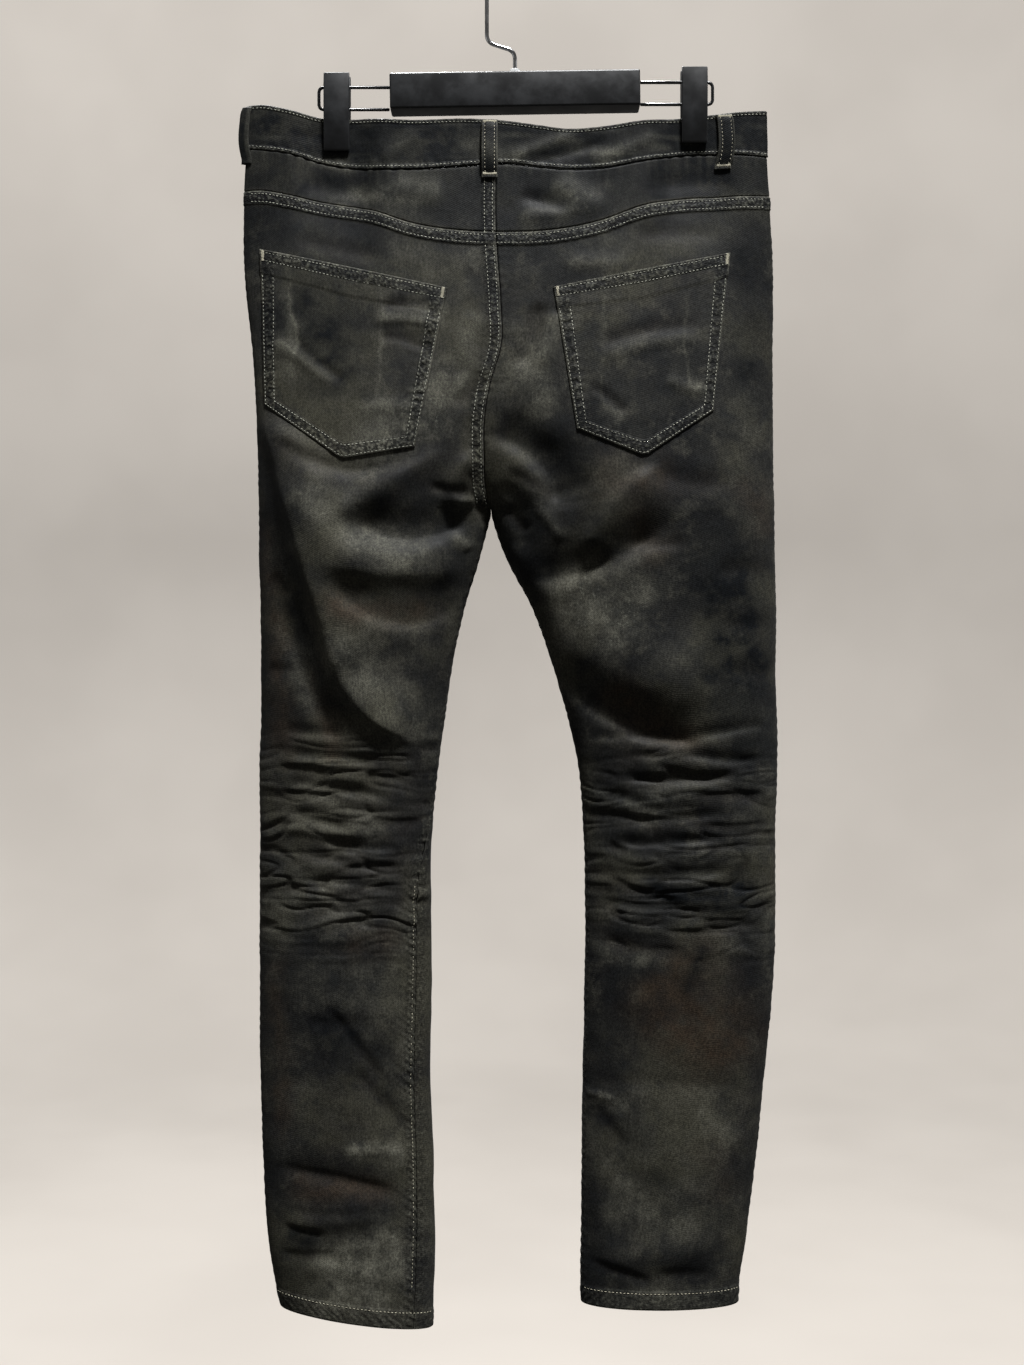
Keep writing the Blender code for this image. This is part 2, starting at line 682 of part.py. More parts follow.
def rounded(corners, bend, steps=5):
    """A route through corners, each cut by a smooth bend."""
    route = [np.array(corners[0], float)]
    for before, corner, after in zip(corners, corners[1:], corners[2:]):
        before, corner, after = (np.array(point, float) for point in (before, corner, after))
        start = corner + (before - corner) * min(bend / np.linalg.norm(before - corner), 0.5)
        end = corner + (after - corner) * min(bend / np.linalg.norm(after - corner), 0.5)
        for s in np.linspace(0, 1, steps + 1):
            route.append((1 - s) ** 2 * start + 2 * s * (1 - s) * corner + s**2 * end)
    route.append(np.array(corners[-1], float))
    return route


def bent_wire(name, route, thickness, material, sides=2):
    """A round wire along a route of x and drop, in the plane of the hanger."""
    curve = bpy.data.curves.new(name, "CURVE")
    curve.dimensions = "3D"
    curve.bevel_depth = thickness / 2 * MM
    curve.bevel_resolution = sides
    curve.use_fill_caps = True
    line = curve.splines.new("POLY")
    line.points.add(len(route) - 1)
    for point, (x, drop) in zip(line.points, route):
        point.co = (x * MM, 0, -drop * MM, 1)
    curve.materials.append(material)
    made = bpy.data.objects.new(name, curve)
    jeans.objects.link(made)
    return made


def hanger_bar():
    bpy.ops.mesh.primitive_cube_add(size=1)
    made = bpy.context.object
    made.name = made.data.name = "hanger_bar"
    made.scale = (BAR_LENGTH * MM, BAR_DEPTH * MM, BAR_HEIGHT * MM)
    bpy.ops.object.transform_apply(location=False, rotation=False, scale=True)
    made.location = (0, 0, -BAR_DROP * MM)
    made.rotation_euler = (0, -BAR_TILT, 0)
    made.data.materials.append(black_plastic)
    bevel = made.modifiers.new("moulded edges", "BEVEL")
    bevel.width = 1.5 * MM
    bevel.segments = 2
    take(made)


def hanger_wire(side):
    """The wire that carries a clip: out of the bar, round, and back into it."""
    clip = CLIPS[side]
    outward = -TOWARDS_CENTRE[side]
    start = outward * (BAR_LENGTH / 2 + GAP + 0.4)
    corners = [
        (start, clip.upper_wire),
        (clip.wire_end, clip.upper_wire),
        (clip.wire_end, clip.lower_wire),
        (start, clip.lower_wire),
    ]
    bent_wire("hanger_wire_" + side, rounded(corners, WIRE_BEND), WIRE_THICKNESS, dark_steel)


def hanger_clip(side):
    """Two jaws joined by a block that sits between the two runs of the wire."""
    clip = CLIPS[side]
    free = WIRE_THICKNESS / 2 + GAP
    block_top = clip.upper_wire + free
    block_foot = clip.lower_wire - free
    one = [
        (JAW_OPEN, block_top),
        (JAW_OPEN + 1.2, clip.top),
        (JAW_OPEN + JAW_THICK - 1.4, clip.top + 1.5),
        (JAW_OPEN + JAW_THICK, clip.top + 12),
        (JAW_OPEN + JAW_THICK, clip.lower_wire),
        (JAW_OPEN + JAW_TIP, clip.bottom - 2),
        (JAW_OPEN + JAW_TIP - 1, clip.bottom),
        (JAW_OPEN, clip.bottom),
        (JAW_OPEN, block_foot),
    ]
    outline = one + [(-y, drop) for y, drop in reversed(one)]
    bm = bmesh.new()
    left = clip.x - CLIP_WIDTH / 2
    face = bm.faces.new([bm.verts.new((left * MM, y * MM, -drop * MM)) for y, drop in outline])
    grown = bmesh.ops.extrude_face_region(bm, geom=[face])
    moved = [item for item in grown["geom"] if isinstance(item, bmesh.types.BMVert)]
    bmesh.ops.translate(bm, vec=(CLIP_WIDTH * MM, 0, 0), verts=moved)
    bmesh.ops.recalc_face_normals(bm, faces=bm.faces)
    mesh = bpy.data.meshes.new("clip_" + side)
    bm.to_mesh(mesh)
    bm.free()
    add_object("clip_" + side, mesh, black_plastic)


def hook():
    """The wire hook: up from the bar, a step aside, and over the hang point."""
    rise = HOOK_RADIUS - HOOK_THICKNESS / 2
    foot = BAR_DROP - BAR_HEIGHT / 2 - GAP
    stem = [(0, foot), (0, HOOK_JOG[0]), (-HOOK_RADIUS, HOOK_JOG[1]), (-HOOK_RADIUS, rise)]
    angles = np.linspace(math.pi, 0, 19)[1:]
    arc = [(HOOK_RADIUS * math.cos(angle), rise - HOOK_RADIUS * math.sin(angle)) for angle in angles]
    tip = [(HOOK_RADIUS + 0.8, rise + HOOK_TIP)]
    bent_wire("hook", rounded(stem, HOOK_BEND) + arc + tip, HOOK_THICKNESS, chrome)


def hook_collar():
    """The sleeve round the foot of the hook, a turned ring."""
    foot = BAR_DROP - BAR_HEIGHT / 2 - GAP
    inner = HOOK_THICKNESS / 2 + GAP
    profile = [
        (inner, foot - COLLAR_HEIGHT),
        (COLLAR_RADIUS - 1, foot - COLLAR_HEIGHT),
        (COLLAR_RADIUS, foot - COLLAR_HEIGHT + 1),
        (COLLAR_RADIUS, foot),
        (inner, foot),
    ]
    mesh = bpy.data.meshes.new("hook_collar")
    points = [(radius * MM, 0, -drop * MM) for radius, drop in profile]
    mesh.from_pydata(points, [(i, (i + 1) % len(points)) for i in range(len(points))], [])
    made = add_object("hook_collar", mesh, chrome)
    screw = made.modifiers.new("turned", "SCREW")
    screw.steps = screw.render_steps = 20
    screw.use_merge_vertices = True
    screw.merge_threshold = 0.00001


for old in list(bpy.data.objects):
    bpy.data.objects.remove(old)
jeans = bpy.data.collections.new("jeans_on_hanger")
bpy.context.scene.collection.children.link(jeans)

coated_denim = principled("coated denim", "2A2B28", 0.55)
gun_metal = principled("gun metal", "3A3A3A", 0.35, 1.0)
black_plastic = principled("black plastic", "1E1F22", 0.4)
dark_steel = principled("dark steel wire", "26272A", 0.35, 1.0)
chrome = principled("chrome wire", "C8C8CA", 0.12, 1.0)

waistband()
for this_side in SIDES:
    yoke(this_side)
    for this_face in ("back", "front"):
        leg_panel(this_side, this_face)
    back_pocket(this_side)
    facing(this_side)
    hanger_wire(this_side)
    hanger_clip(this_side)
for loop_name, (loop_face, loop_x) in LOOPS.items():
    belt_loop(loop_name, loop_face, loop_x)
side_loop()
fly_flap()
waist_button()
hanger_bar()
hook()
hook_collar()
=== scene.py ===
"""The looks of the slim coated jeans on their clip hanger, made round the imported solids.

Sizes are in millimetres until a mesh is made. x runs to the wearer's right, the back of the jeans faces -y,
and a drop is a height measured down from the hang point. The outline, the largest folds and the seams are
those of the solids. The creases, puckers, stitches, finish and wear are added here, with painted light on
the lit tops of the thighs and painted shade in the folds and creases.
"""

import itertools
import math
from collections import namedtuple

import bmesh
import bpy
import numpy as np
from mathutils import Matrix, Vector


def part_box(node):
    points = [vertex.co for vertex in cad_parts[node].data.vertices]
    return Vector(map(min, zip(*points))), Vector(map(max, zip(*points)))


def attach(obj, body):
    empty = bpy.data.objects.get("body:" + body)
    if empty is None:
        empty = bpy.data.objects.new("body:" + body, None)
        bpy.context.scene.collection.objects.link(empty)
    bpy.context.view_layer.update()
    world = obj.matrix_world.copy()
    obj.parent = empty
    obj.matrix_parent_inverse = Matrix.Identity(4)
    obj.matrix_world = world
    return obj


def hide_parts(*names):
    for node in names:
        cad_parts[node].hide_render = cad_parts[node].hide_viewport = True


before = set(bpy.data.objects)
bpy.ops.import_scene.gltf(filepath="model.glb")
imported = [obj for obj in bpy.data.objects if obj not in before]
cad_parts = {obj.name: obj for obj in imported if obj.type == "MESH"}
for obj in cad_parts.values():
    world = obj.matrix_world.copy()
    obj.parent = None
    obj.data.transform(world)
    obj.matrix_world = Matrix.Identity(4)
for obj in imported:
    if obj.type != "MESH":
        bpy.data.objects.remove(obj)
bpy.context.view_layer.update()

MM = 0.001

# Cloth thicknesses and gaps.
CLOTH = 1.1
BAND_OUTER = 0.9
BAND_WALL = 2.2
LOOP_CLOTH = 1.6
GAP = 0.3
CLEAR = 0.45
POCKET_CLEAR = 0.55
FACING_CLOTH = 0.8
FACING_SLACK = 1.3
FACING_SLACK_FADE = (192, 235)

# Drops of the landmarks, and the sizes of small pieces.
HIP_DROP = 300
CROTCH_DROP = 503
HEM_HEIGHT = 16
HEM_RAISE = 0.7
LEFT_HEM = (-204, 1201, 0.137)
RIGHT_HEM_DROP = 1197.5
POCKET_HEM = 26
POCKET_HEM_EXTRA = 0.7
SCOOP_DEPTH = 66
SCOOP_WIDTH = 100
MOUTH_ROWS = (2.4, 8.8)
FACING_HEIGHT = 98
FLY_WIDTH = 40
FLY_OVERLAP = 8
FLY_LENGTH = 150
FLY_TOP = 200.0
FLY_ROUND = 46
FLY_ROUND_SHARE = 0.7
FLY_ROWS = (3.0, 10.0)
LOOP_WIDTH = 14
LOOP_ARCH = 2.6
LOOP_FOOT = 13
SIDE_LOOP_ANGLE = 0.27
LAP_REACH = 0.14
LAP_RISE = (1.29, 1.52)
BUTTON_RADIUS = 8.5
BUTTON_HEIGHT = 3
LEG_TOP = 232
HEM_DROP = 1211
CREASE_ROWS_FADE = (230, 420)
HEM_ROWS_FADE = (1080, 1190)
MOUTH_DROP = 230.0
SIDE_LOOP_X = -236.0

# Where the creases of the knee, the twist of the left inseam, soft dents and the dark top begin and end.
KNEE_TOP = (690, 742)
KNEE_FOOT = (850, 925)
ROPE_FADE = (790, 860)
DENTS_FADE = (200, 260)
TOP_INK_FADE = (200, 320)

# A seam's raised band, the rows of stitches beside each kind of edge, and where the long rows start and end.
SEAM_BAND = 11.5
BAND_RAISE = 0.9
BAND_ROW = 2.8
POCKET_ROWS = (2.0, 11.0)
POCKET_MOUTH_ROWS = (3, 11.5)
HEM_ROW = 1.6
LOOP_ROW = 2.6
STITCH_ROWS = (2.6, 9.6)
STITCH_PITCH = 3.3
STITCH = (2.0, 0.68)
STITCH_PROUD = 0.12
YOKE_ROW_ENDS = (-232, 219)
BAND_ROW_ENDS = {"back": (-234, 220), "front": (-233, 219)}
SEAT_ROW_ENDS = (208, 498)
INSEAM_ROW_ENDS = (830, 1183)
HEM_ROW_DROP = 1180.0


def rows_of(kind, *rows):
    """A table with named columns."""
    return [kind(*row) for row in rows]


# Outline and depth of the garment: the outseams, the inseams below the crotch, and half the thickness of
# the hanging garment towards the back and the front.
Section = namedtuple("Section", "drop left_out left_in right_in right_out back front")
SECTIONS = rows_of(
    Section,
    (140, -236, -21, -21, 221, 8, 7),
    (190, -237, -21, -21, 222, 11, 9),
    (229, -239, -21, -21, 224, 15, 12),
    (299, -237.5, -21, -21, 227, 24, 17),
    (370, -230, -21, -21, 227, 31, 21),
    (440, -227, -21, -21, 227, 35, 25),
    (503, -225.5, -21, -21, 228, 37, 28),
    (546, -224.5, -31.5, -7, 229, 36, 30),
    (581, -223.5, -42, 11.5, 229.5, 35, 30),
    (651, -223.5, -56.5, 37, 229.5, 33, 31),
    (722, -224.5, -67, 54.5, 230.5, 30, 32),
    (792, -224.5, -73, 60, 229, 28, 31),
    (862, -224.5, -73, 61.5, 229, 28, 29),
    (933, -224.5, -73, 60.5, 226, 28, 27),
    (1003, -223.5, -74, 59, 219, 27, 25),
    (1074, -221, -71.5, 59, 212, 26, 24),
    (1144, -216.5, -70.5, 58, 202.5, 25, 24),
    (1179, -210.5, -71.5, 57.5, 197, 24, 23),
    (1222, -200, -73, 60.5, 194, 24, 23),
)

# The centre seams from the waistband to the crotch.
Seam = namedtuple("Seam", "drop back front")
CENTRE_SEAM = rows_of(
    Seam,
    (140, -15, -8),
    (263, -16.5, -8),
    (325, -12.5, -9),
    (362, -12, -10),
    (398, -22, -12),
    (424, -26.5, -14),
    (458, -27, -17),
    (490, -25, -20),
    (503, -21, -21),
)

# The edges of the waistband and the yoke, as drops across the back, and how much lower the front hangs.
Band = namedtuple("Band", "x top bottom yoke")
BAND = rows_of(
    Band,
    (-240, 147, 184, 222),
    (-222, 146, 186, 222),
    (-201, 150, 189, 226),
    (-168, 158, 198, 233),
    (-126, 159, 204, 241),
    (-92, 161, 205, 253),
    (-41, 160, 202, 261),
    (-8, 162, 200, 262),
    (22, 166, 203, 261),
    (45, 169, 205, 258),
    (75, 167, 204, 251),
    (112, 161, 197, 237),
    (145, 158, 191, 230),
    (180, 154, 190, 228),
    (230, 150, 192, 226),
)
FRONT_SAG = 6
SAG_HALF_WIDTH = 140

# The left inseam is turned round to the back below the knee.
Turn = namedtuple("Turn", "drop turn")
LEFT_TURN = rows_of(Turn, (770, 0), (830, 10), (900, 12.5), (1060, 14), (1225, 16))

# Largest folds: a bent line from start to end through its middle, how far it reaches to either side of that
# line, and its height. Side a is on the right of the way from start to end, as seen on the page.
Fold = namedtuple("Fold", "x0 drop0 x1 drop1 x2 drop2 side_a side_b height")
BACK_FOLDS = rows_of(
    Fold,
    (-226, 396, -194, 520, -148, 656, 7, 50, 15),
    (-168, 606, -146, 690, -82, 704, 7, 34, 8),
    (-224, 470, -206, 620, -140, 720, 9, 8, -4),
    (-178, 546, -98, 568, -28, 548, 12, 28, 5.5),
    (-166, 560, -96, 636, -38, 572, 7, 22, -4.5),
    (-156, 504, -94, 554, -28, 500, 10, 22, -9),
    (-164, 516, -112, 490, -50, 430, 14, 14, 6),
    (-200, 444, -128, 500, -62, 438, 7, 9, -4),
    (-206, 470, -178, 540, -110, 546, 18, 22, 3),
    (-34, 452, -58, 480, -50, 506, 7, 9, 7),
    (-26, 434, 36, 456, 40, 508, 8, 26, -9),
    (-12, 476, 14, 504, 4, 546, 9, 9, -5),
    (126, 464, 74, 500, 58, 548, 6, 26, 6.5),
    (8, 560, 64, 570, 148, 504, 9, 20, -7),
    (26, 600, 82, 656, 188, 656, 26, 40, 7),
    (28, 636, 84, 708, 174, 704, 7, 22, -6),
    (-204, 694, -176, 698, -146, 699, 4, 7, -2.2),
    (-204, 716, -160, 717, -112, 722, 4, 7, -2.8),
    (-206, 741, -150, 741, -104, 756, 4, 7, -2.8),
    (-200, 766, -170, 771, -140, 782, 4, 7, -2.8),
    (-170, 789, -136, 800, -98, 796, 4, 7, -2.5),
    (-200, 799, -176, 803, -140, 810, 4, 7, -2.2),
    (-194, 823, -150, 826, -96, 832, 4, 7, -2.5),
    (60, 700, 120, 700, 160, 704, 4, 7, -2.2),
    (150, 702, 190, 694, 220, 689, 4, 7, -2.5),
    (138, 712, 176, 724, 220, 720, 4, 7, -2.8),
    (84, 732, 130, 744, 198, 733, 4, 7, -2.8),
    (64, 740, 86, 754, 120, 760, 4, 7, -2.5),
    (76, 770, 130, 774, 190, 766, 4, 7, -2.2),
    (84, 790, 120, 796, 190, 786, 4, 7, -2.8),
    (86, 818, 140, 824, 192, 815, 4, 7, -2.5),
    (66, 838, 100, 852, 150, 846, 4, 7, -2.5),
    (-214, 1074, -150, 1082, -90, 1102, 9, 14, -2.6),
    (-204, 1122, -160, 1122, -116, 1112, 10, 12, 2.6),
    (-142, 984, -110, 1016, -86, 1052, 18, 18, -1.8),
    (60, 1004, 130, 992, 210, 1010, 20, 28, -0.8),
    (62, 1150, 120, 1158, 180, 1140, 14, 18, 3),
)
FRONT_FOLDS = rows_of(
    Fold,
    (-60, 430, -110, 404, -180, 398, 12, 20, 4),
    (-40, 462, -100, 452, -190, 462, 14, 22, 4.5),
    (-36, 496, -110, 512, -196, 500, 16, 24, -5),
    (30, 434, 90, 408, 170, 402, 12, 20, 4),
    (10, 466, 80, 456, 176, 468, 14, 22, 4.5),
    (6, 500, 90, 516, 190, 506, 16, 24, -5),
    (-190, 660, -140, 676, -80, 662, 14, 18, -4),
    (-204, 724, -150, 734, -90, 722, 9, 12, -4.5),
    (-198, 764, -140, 758, -92, 770, 9, 12, -4.5),
    (-204, 808, -150, 816, -96, 806, 9, 12, -4),
    (70, 664, 140, 680, 210, 660, 14, 18, -4),
    (72, 726, 140, 718, 210, 730, 9, 12, -4.5),
    (76, 768, 130, 780, 204, 764, 9, 12, -4.5),
    (72, 812, 140, 806, 200, 818, 9, 12, -4),
    (-206, 1120, -150, 1104, -92, 1124, 14, 18, -4),
    (68, 1096, 130, 1112, 190, 1098, 14, 18, -4),
)
FOLD_STEPS = 10
FOLD_END = 0.22

# The corners of the back pockets, from the top left round to the bottom left.
Pocket = namedtuple("Pocket", "top_left top_right bottom_right point bottom_left")
POCKETS = {
    "left": Pocket((-222, 274), (-58, 312), (-86, 451), (-149, 461), (-218, 411)),
    "right": Pocket((33, 311), (187, 278), (171, 418), (111, 459), (53, 435)),
}
POCKET_CALM = 26
POCKET_FLAT_EDGE = 4
POCKET_FLAT_FOOT = 6
POCKET_FLATNESS = 0.9

# Belt loops that lie flat on the waistband: the face that each is on and its place across it.
LOOPS = {
    "belt_loop_back": ("back", -22),
    "belt_loop_right": ("back", 181),
    "belt_loop_front_left": ("front", -112),
    "belt_loop_front_right": ("front", 98),
}

# The hanger. Its bar tilts by a little, and its wires run out of the ends of the bar.
BAR_LENGTH = 219
BAR_DEPTH = 25
BAR_HEIGHT = 31
BAR_DROP = 134.7
BAR_TILT = math.radians(0.9)
WIRE_THICKNESS = 2.8
WIRE_BEND = 5
Clip = namedtuple("Clip", "x top bottom upper_wire lower_wire wire_end")
CLIPS = {
    "left": Clip(-156.4, 118, 187, 129.8, 149.3, -172.5),
    "right": Clip(157.5, 112.8, 180, 125.4, 144.8, 173.9),
}
CLIP_WIDTH = 22.5
JAW_OPEN = 3.7
JAW_THICK = 5.6
JAW_TIP = 3.2
CLIPPED_DEPTH = 2.9
PINCH_HALF_WIDTH = 32
PINCH_FADE = (188, 290)
HOOK_THICKNESS = 3.5
HOOK_RADIUS = 24.75
HOOK_JOG = (98, 90)
HOOK_BEND = 7
HOOK_TIP = 5
COLLAR_RADIUS = 4.6
COLLAR_HEIGHT = 5

SIDES = ("left", "right")
FACES = ("back", "front")
TOWARDS_CENTRE = {"left": 1, "right": -1}

# The distance between rows of mesh along each kind of panel: a drop and the spacing there.
LEG_ROWS = {
    "back": (
        (232, 1.2), (246, 1.3), (262, 2.2), (420, 2.2), (470, 1.9), (640, 1.9), (690, 1.35), (885, 1.35),
        (925, 2.1), (1060, 1.9), (1150, 1.9), (1190, 1.3), (1211, 0.9),
    ),
    "front": (
        (232, 2.2), (420, 2.6), (660, 2.6), (700, 2.0), (870, 2.0), (930, 3.0), (1180, 2.4), (1211, 1.1),
    ),
}
LEG_COLUMNS = {"back": 84, "front": 62}
HEM_TURN = 14
HEM_CURL = 1.12
EDGE_ROUND = 0.9

# A panel's edges depend on x, and x on the drop, so both are worked out together in a few rounds.
SETTLING = range(4)

# The room and its lights, in metres, with each lamp's place, aim, size and power.
FLOOR = -1.75
FLOOR_RADIUS = 3.0
COVE = 1.6
WALL_TOP = 8.0
CAMERA_PLACE = (-0.0026, -1.5, -0.6534)
CAMERA_LENS = 44.95
WORLD_STRENGTH = 0.11
LAMPS = (
    ("key", (0.9, -1.8, 4.2), (0, 0, -0.75), (0.9, 0.6), 640),
    ("fill_left", (-2.6, -0.8, -0.2), (0, 0, -0.6), (1.0, 1.8), 4),
    ("fill_right", (2.6, -0.6, -0.1), (0, 0, -0.6), (1.0, 1.8), 7),
    ("far", (-0.9, 1.8, 4.2), (0, 0, -0.75), (0.9, 0.6), 640),
    ("wall_far", (0, 1.6, 2.8), (0, 4.6, -0.9), (2.4, 0.6), 18),
    ("wall_near", (0, -1.6, 2.8), (0, -4.6, -0.9), (2.4, 0.6), 18),
    ("wall_left", (-1.6, 0, 2.8), (-4.6, 0, -0.9), (0.6, 2.4), 18),
    ("wall_right", (1.6, 0, 2.8), (4.6, 0, -0.9), (0.6, 2.4), 18),
)

# Creases too sharp for the solids, with the same columns as the folds.
BACK_CREASES = rows_of(
    Fold,
    (-206, 727, -184, 727, -160, 729, 5, 3, -1.6),
    (-204, 750, -176, 748, -149, 754, 5, 3, -1.6),
    (-152, 815, -124, 811, -95, 814, 5, 3, -1.5),
    (-156, 862, -138, 858, -122, 861, 6, 3, -1.2),
    (-196, 846, -160, 850, -128, 846, 7, 4, -1.1),
    (-132, 732, -108, 738, -82, 734, 6, 3, -1.2),
    (-128, 770, -104, 776, -80, 774, 6, 3, -1.2),
    (79, 792, 88, 797, 98, 800, 5, 3, -1.4),
    (81, 822, 106, 836, 146, 844, 5, 3, -1.7),
    (66, 764, 92, 770, 122, 772, 5, 3, -1.5),
    (150, 752, 186, 748, 222, 752, 6, 3, -1.5),
    (160, 776, 190, 780, 222, 776, 6, 3, -1.2),
    (120, 722, 152, 740, 196, 731, 5, 3, -1.4),
    (160, 866, 190, 862, 222, 868, 8, 5, -1.2),
    (72, 874, 104, 886, 150, 884, 8, 5, -1.4),
    (22, 322, 16, 352, 2, 386, 6, 8, -2.2),
    (34, 330, 34, 356, 18, 384, 7, 6, 1.6),
    (-34, 330, -46, 356, -44, 384, 8, 8, 1.2),
    (-54, 416, -36, 404, -26, 384, 7, 6, -1.4),
    (2, 226, 24, 236, 52, 242, 6, 7, -1.3),
    (0, 246, 26, 250, 62, 236, 8, 9, 1.5),
    (30, 216, 52, 226, 78, 246, 9, 12, 1.4),
    (-60, 226, -86, 228, -112, 218, 12, 12, 1.2),
    (-190, 214, -160, 222, -120, 226, 9, 10, -1.0),
    (110, 222, 150, 212, 196, 214, 9, 10, -1.0),
    (-8, 196, 22, 186, 56, 172, 5, 5, 0.9),
    (10, 200, 44, 194, 84, 178, 4, 5, -0.8),
    (60, 200, 92, 190, 130, 172, 6, 6, 0.7),
    (-120, 196, -96, 186, -84, 170, 6, 6, 0.6),
    (-196, 176, -176, 170, -150, 180, 6, 6, -0.6),
    (-214, 358, -190, 360, -150, 404, 6, 6, 1.2),
    (-196, 344, -186, 372, -140, 396, 5, 5, -0.9),
    (-120, 330, -90, 320, -64, 334, 4, 6, -1.0),
    (-126, 342, -92, 336, -64, 348, 4, 7, 1.0),
    (-122, 356, -94, 352, -68, 372, 4, 7, -0.8),
    (-140, 420, -112, 412, -80, 420, 7, 6, 0.8),
    (66, 366, 110, 344, 166, 344, 6, 8, -0.9),
    (70, 376, 112, 356, 168, 354, 6, 8, 0.7),
    (128, 390, 142, 400, 168, 402, 5, 6, 0.9),
    (62, 396, 84, 408, 96, 424, 5, 5, -0.8),
    (40, 292, 70, 284, 104, 292, 8, 8, 0.9),
    (100, 264, 140, 262, 184, 262, 7, 9, -0.9),
    (-200, 264, -160, 276, -110, 286, 7, 9, -0.9),
    (-208, 440, -190, 462, -150, 476, 6, 8, -1.4),
    (-76, 482, -54, 492, -38, 486, 5, 5, -1.6),
    (-60, 502, -46, 498, -34, 494, 4, 4, 1.6),
    (-34, 494, -28, 506, -24, 516, 4, 4, -1.4),
    (-10, 500, 0, 512, 12, 524, 4, 5, -1.6),
    (14, 496, 34, 514, 42, 534, 5, 5, 1.4),
    (-12, 470, 20, 480, 40, 500, 5, 6, -1.2),
    (-60, 524, -46, 530, -40, 540, 5, 6, 1.2),
    (96, 528, 120, 540, 150, 530, 6, 8, -1.4),
    (120, 470, 150, 486, 190, 480, 9, 10, -1.2),
    (-214, 1074, -150, 1080, -96, 1098, 5, 4, -0.8),
    (-200, 1112, -160, 1116, -112, 1110, 5, 4, -0.7),
    (-204, 1126, -180, 1130, -164, 1132, 4, 3, -1.0),
    (-206, 1150, -180, 1152, -150, 1148, 5, 4, -0.8),
    (-150, 1060, -120, 1056, -92, 1064, 6, 6, 0.9),
    (-190, 1164, -150, 1156, -110, 1172, 8, 8, 0.9),
    (-142, 984, -116, 1016, -86, 1050, 6, 5, -0.7),
    (-166, 930, -138, 962, -110, 1004, 5, 4, -0.9),
    (-184, 946, -150, 952, -120, 944, 7, 6, -0.7),
    (62, 1004, 118, 993, 206, 1008, 7, 7, -0.5),
    (60, 1012, 74, 1010, 90, 1018, 4, 3, 0.9),
    (120, 1168, 146, 1162, 176, 1170, 5, 5, -0.6),
    (62, 1158, 96, 1164, 120, 1174, 5, 4, -0.9),
    (66, 1020, 84, 1036, 96, 1060, 6, 5, -0.8),
    (130, 900, 150, 930, 160, 976, 7, 6, -0.6),
    (170, 560, 200, 552, 226, 558, 8, 9, -1.2),
    (176, 600, 200, 606, 226, 600, 8, 9, -1.0),
    (182, 646, 204, 640, 226, 650, 8, 9, -1.1),
    (-214, 560, -204, 566, -196, 580, 6, 6, -1.0),
    (-216, 640, -204, 646, -190, 640, 6, 6, -0.9),
)
FRONT_CREASES = rows_of(
    Fold,
    (-206, 694, -176, 700, -140, 696, 5, 3, -1.6),
    (-200, 744, -150, 750, -104, 744, 5, 3, -1.8),
    (-150, 784, -120, 790, -88, 784, 5, 3, -1.6),
    (-204, 828, -170, 834, -128, 828, 5, 3, -1.4),
    (-190, 856, -150, 850, -110, 858, 6, 4, -1.2),
    (72, 700, 110, 694, 150, 702, 5, 3, -1.6),
    (104, 748, 150, 742, 206, 750, 5, 3, -1.8),
    (80, 786, 120, 794, 160, 788, 5, 3, -1.6),
    (120, 830, 160, 836, 206, 828, 5, 3, -1.4),
    (74, 852, 110, 858, 140, 852, 6, 4, -1.2),
    (-150, 240, -110, 262, -70, 300, 10, 12, -1.4),
    (140, 240, 110, 266, 60, 304, 10, 12, -1.4),
    (-40, 388, -80, 372, -120, 340, 6, 8, -1.8),
    (-36, 430, -70, 440, -120, 430, 6, 8, -1.6),
    (24, 392, 62, 376, 110, 346, 6, 8, -1.8),
    (20, 434, 60, 444, 120, 434, 6, 8, -1.6),
    (-200, 560, -150, 570, -90, 556, 9, 12, -1.4),
    (70, 556, 130, 572, 200, 560, 9, 12, -1.4),
    (-196, 610, -150, 604, -80, 616, 8, 10, -1.0),
    (66, 612, 130, 606, 206, 620, 8, 10, -1.0),
    (-204, 1080, -150, 1088, -96, 1078, 5, 4, -1.2),
    (-196, 1150, -150, 1142, -100, 1154, 5, 4, -1.1),
    (70, 1070, 120, 1078, 180, 1068, 5, 4, -1.2),
    (70, 1146, 120, 1154, 176, 1144, 5, 4, -1.1),
    (-196, 960, -150, 950, -110, 966, 9, 9, -0.8),
    (80, 946, 130, 956, 190, 944, 9, 9, -0.8),
)
CREASES = {"back": BACK_CREASES, "front": FRONT_CREASES}
FOLDS = {"back": BACK_FOLDS, "front": FRONT_FOLDS}
